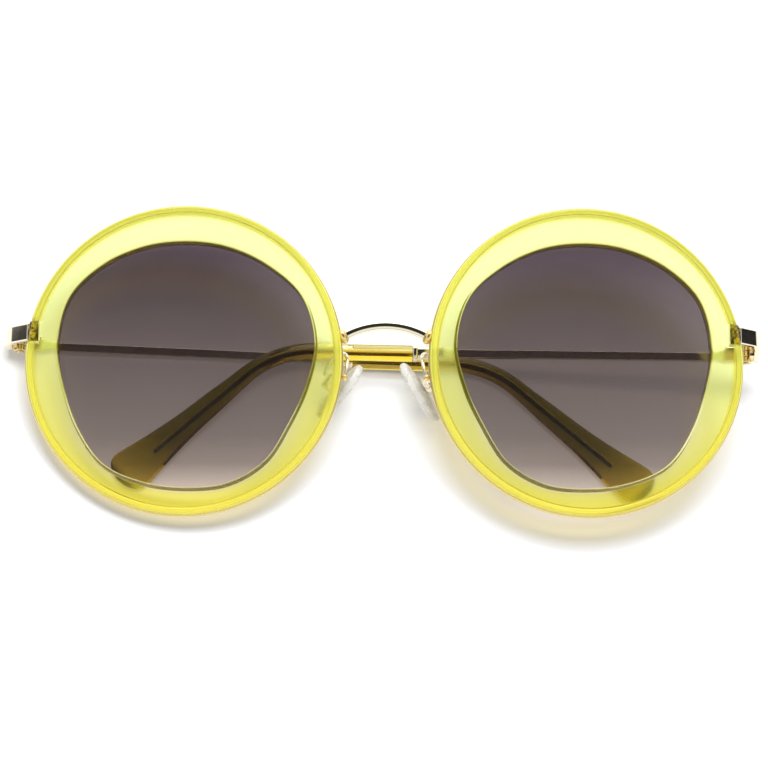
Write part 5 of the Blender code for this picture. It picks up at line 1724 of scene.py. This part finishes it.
class SUNGLASSES_OT_pad_arms(PieceOperator):
    """Builds the looped wires that carry the nose pads, with solder at the rim"""
    bl_idname = "sunglasses.pad_arms"
    bl_label = "Pad Arms"

    def build(self, side, label, place):
        pads = bpy.context.scene.sunglasses_pads
        clear = PAD_WIRE / 2 + SEAM
        radius = rim_radius() + clear
        across = -sqrt(radius ** 2 - pads.foot_drop ** 2)
        foot = ring_place(side) @ Vector((side * across, rim_middle(), -pads.foot_drop))
        top = BOX_STANDOFF + STEM_TALL + BOX_ROOM + BOX_WALL + clear
        seat = pad_place(side) @ Vector((0, 0, top))
        route = [foot.lerp(seat, way)
                 + Vector((-side * pads.loop_inset * inward, 0, pads.rise * up))
                 for way, up, inward in PAD_ARM_SHARES]
        points = smooth_points(route, 10)
        stations = []
        across_from = Vector((1, 0, 0))
        for k, point in enumerate(points):
            along = (points[min(k + 1, len(points) - 1)] - points[max(k - 1, 0)]).normalized()
            out = (across_from - along * across_from.dot(along)).normalized()
            across_from = out
            stations.append(section(point, out, along.cross(out), (PAD_WIRE / 2, PAD_WIRE / 2)))
        arm = sweep(label + "_pad_wire", capped(stations, WIRE_BEVEL), pale_gold(), 24, SOFT_EDGE)
        set_in_place(arm, place, "front", "pale_gold_metal", label + "_pad_arm")
        heading = (points[3] - points[0]).normalized()
        out = (Vector((1, 0, 0)) - heading * heading.x).normalized()
        girth, half_long = PAD_SOLDER
        blob = []
        for k in range(13):
            a = pi * k / 12
            half = girth * max(sin(a), 0.0)
            blob.append(section(foot - heading * cos(a) * half_long, out, heading.cross(out),
                                (half, half)))
        bead = sweep(label + "_pad_wire_solder", blob, solder_metal(), 24, SOLDER_EDGE)
        set_in_place(bead, place, "front", "pale_gold_metal")


class SUNGLASSES_OT_stage(bpy.types.Operator):
    """Sets up the floor, the soft studio light and the camera"""
    bl_idname = "sunglasses.stage"
    bl_label = "Stage"
    bl_options = {"REGISTER", "UNDO"}

    def execute(self, context):
        scene = context.scene
        scene.view_settings.view_transform = "Standard"
        light = scene.sunglasses_stage
        self.add_floor(light)
        self.add_sky(scene, light)
        self.add_lamp(light)
        self.add_camera(scene)
        return {"FINISHED"}

    def add_floor(self, light):
        corners = [(x * FLOOR_HALF, y * FLOOR_HALF, 0)
                   for x, y in ((-1, -1), (1, -1), (1, 1), (-1, 1))]
        floor = add_object("floor", mesh_from("floor", corners, [(0, 1, 2, 3)]))
        dress(floor, get_material("pale_paper", self.paper, light))

    def paper(self, wire, light):
        """Matt paper, lifted towards white where it is seen, and more so far away."""
        fibre = to_range(wire, grain(wire, object_point(wire), 60.0, 4.0), 0.985, 1.0)
        matt = wire.add("ShaderNodeBsdfDiffuse", {"Color": wire.along((light.floor,) * 3, fibre)})
        path = wire.add("ShaderNodeLightPath").outputs
        afar = wire.add("ShaderNodeVectorMath", {0: object_point(wire)}, operation="LENGTH")
        rise = to_range(wire, afar.outputs["Value"], light.glow, 1.0, *FLOOR_RISE)
        seen = wire.math("MAXIMUM", path["Is Camera Ray"], path["Is Glossy Ray"])
        direct = wire.math("MULTIPLY", seen, rise)
        through = wire.math("MULTIPLY", path["Is Transmission Ray"], light.glow_through)
        lift = wire.add("ShaderNodeEmission", {"Strength": wire.math("MAXIMUM", direct, through)})
        return wire.add("ShaderNodeAddShader", {0: matt, 1: lift})

    def add_sky(self, scene, light):
        """An even sky for the object's own light, a white one behind it, and in mirrors a white
        studio with dark gaps and a softbox."""
        world = bpy.data.worlds.new("studio")
        scene.world = world
        world.use_nodes = True
        world.node_tree.nodes.clear()
        wire = Wiring(world.node_tree)
        way = wire.add("ShaderNodeTexCoord").outputs["Generated"]

        def fade(value, low, high, first, second):
            return wire.add("ShaderNodeMapRange", {
                "Value": value, "From Min": low, "From Max": high,
                "To Min": first, "To Max": second}, interpolation_type="SMOOTHSTEP").outputs[0]

        def towards(direction, edge, outside, inside):
            """One strength outside a cone round a direction, and another inside it."""
            facing = wire.add("ShaderNodeVectorMath", {
                0: way, 1: Vector(direction).normalized()}, operation="DOT_PRODUCT")
            return fade(facing.outputs["Value"], cos(edge[0]), cos(edge[1]), outside, inside)

        def choose(fac, first, second):
            """Mixes two numbers, which are the mix node's sockets 2 and 3."""
            mix = wire.add("ShaderNodeMix", {"Factor": fac}, data_type="FLOAT")
            wire.feed(mix.inputs[2], first)
            wire.feed(mix.inputs[3], second)
            return mix.outputs[0]

        height = wire.add("ShaderNodeSeparateXYZ", {0: way}).outputs["Z"]
        ceiling_gap = towards(CEILING_GAP, CEILING_GAP_EDGE, 1.0, GAP_LIGHT)
        horizon_gap = fade(height, *HORIZON_GAP, HORIZON_LIGHT, 1.0)
        studio = wire.math("MULTIPLY", ceiling_gap, horizon_gap)
        for side_gap in SIDE_GAPS:
            dark = towards(side_gap, SIDE_GAP_EDGE, 1.0, GAP_LIGHT)
            studio = wire.math("MULTIPLY", studio, dark)
        softbox = towards(SOFTBOX, SOFTBOX_EDGE, 0.0, SOFTBOX_LIGHT)
        studio = wire.math("ADD", studio, softbox)
        path = wire.add("ShaderNodeLightPath").outputs
        clear_view = wire.math("MAXIMUM", path["Is Camera Ray"], path["Is Transmission Ray"])
        level = choose(clear_view, choose(path["Is Glossy Ray"], light.sky, studio), 1.0)
        back = wire.add("ShaderNodeBackground", {"Color": (1, 1, 1), "Strength": level})
        wire.add("ShaderNodeOutputWorld", {"Surface": back})

    def add_lamp(self, light):
        lamp = bpy.data.lights.new("soft_lamp", "AREA")
        lamp.shape = "RECTANGLE"
        lamp.size, lamp.size_y = LAMP_SIZE
        lamp.energy = LAMP_POWER * light.lamp
        thing = add_object("soft_lamp", lamp)
        thing.visible_glossy = False
        thing.visible_transmission = False
        aimed = (-LAMP_SPOT).to_track_quat("-Z", "Y").to_matrix().to_4x4()
        thing.matrix_world = Matrix.Translation(LAMP_SPOT) @ aimed

    def add_camera(self, scene):
        """The photograph's camera, fitted in the front's own frame."""
        level = cos(CAMERA_ELEVATION)
        towards = Vector((-sin(CAMERA_AZIMUTH) * level, -cos(CAMERA_AZIMUTH) * level,
                          -sin(CAMERA_ELEVATION)))
        ahead = -towards
        right = ahead.cross(Vector((0, 0, 1))).normalized()
        up = right.cross(ahead)
        across = right * cos(CAMERA_ROLL) - up * sin(CAMERA_ROLL)
        upward = right * sin(CAMERA_ROLL) + up * cos(CAMERA_ROLL)
        turned_to = Matrix((across, upward, towards)).transposed().to_4x4()
        data = bpy.data.cameras.new("camera")
        data.lens = CAMERA_LENS
        data.sensor_width = CAMERA_SENSOR
        data.clip_start = 0.01
        camera = add_object("camera", data)
        spot = CAMERA_TARGET + towards * CAMERA_DISTANCE
        camera.matrix_world = front_place() @ Matrix.Translation(spot) @ turned_to
        scene.camera = camera


class SUNGLASSES_PT_pieces(bpy.types.Panel):
    """Lists the operators and the sizes in the sidebar"""
    bl_label = "Round Sunglasses"
    bl_idname = "SUNGLASSES_PT_pieces"
    bl_space_type = "VIEW_3D"
    bl_region_type = "UI"
    bl_category = "Sunglasses"

    def draw(self, context):
        for operator in OPERATORS:
            self.layout.operator(operator.bl_idname)
        for label, attribute in SETTINGS:
            box = self.layout.box()
            box.label(text=label)
            group = getattr(context.scene, attribute)
            for name in group.__annotations__:
                box.prop(group, name)


OPERATORS = (
    SUNGLASSES_OT_ring_inserts, SUNGLASSES_OT_lenses, SUNGLASSES_OT_rims,
    SUNGLASSES_OT_closing_blocks, SUNGLASSES_OT_end_pieces, SUNGLASSES_OT_hinges,
    SUNGLASSES_OT_screws, SUNGLASSES_OT_temple_arms, SUNGLASSES_OT_ferrules,
    SUNGLASSES_OT_sleeves, SUNGLASSES_OT_bridge, SUNGLASSES_OT_nose_pads,
    SUNGLASSES_OT_pad_boxes, SUNGLASSES_OT_pad_arms, SUNGLASSES_OT_stage,
)
GROUPS = (
    (RingSizes, "sunglasses_rings", "Rings"), (BridgeSizes, "sunglasses_bridge", "Bridge"),
    (TempleSizes, "sunglasses_temples", "Temples"), (PadSizes, "sunglasses_pads", "Nose pads"),
    (Finishes, "sunglasses_finishes", "Finishes"), (StageLight, "sunglasses_stage", "Stage"),
)
SETTINGS = tuple((label, attribute) for _, attribute, label in GROUPS)


def register():
    for group, attribute, _ in GROUPS:
        bpy.utils.register_class(group)
        setattr(bpy.types.Scene, attribute, PointerProperty(type=group))
    for operator in OPERATORS:
        bpy.utils.register_class(operator)
    bpy.utils.register_class(SUNGLASSES_PT_pieces)


def unregister():
    bpy.utils.unregister_class(SUNGLASSES_PT_pieces)
    for operator in reversed(OPERATORS):
        bpy.utils.unregister_class(operator)
    for group, attribute, _ in reversed(GROUPS):
        delattr(bpy.types.Scene, attribute)
        bpy.utils.unregister_class(group)


def main():
    register()
    bpy.ops.sunglasses.ring_inserts()
    bpy.ops.sunglasses.lenses()
    bpy.ops.sunglasses.rims()
    bpy.ops.sunglasses.closing_blocks()
    bpy.ops.sunglasses.end_pieces()
    bpy.ops.sunglasses.hinges()
    bpy.ops.sunglasses.screws()
    bpy.ops.sunglasses.temple_arms()
    bpy.ops.sunglasses.ferrules()
    bpy.ops.sunglasses.sleeves()
    bpy.ops.sunglasses.bridge()
    bpy.ops.sunglasses.nose_pads()
    bpy.ops.sunglasses.pad_boxes()
    bpy.ops.sunglasses.pad_arms()
    bpy.ops.sunglasses.stage()


if __name__ == "__main__":
    main()
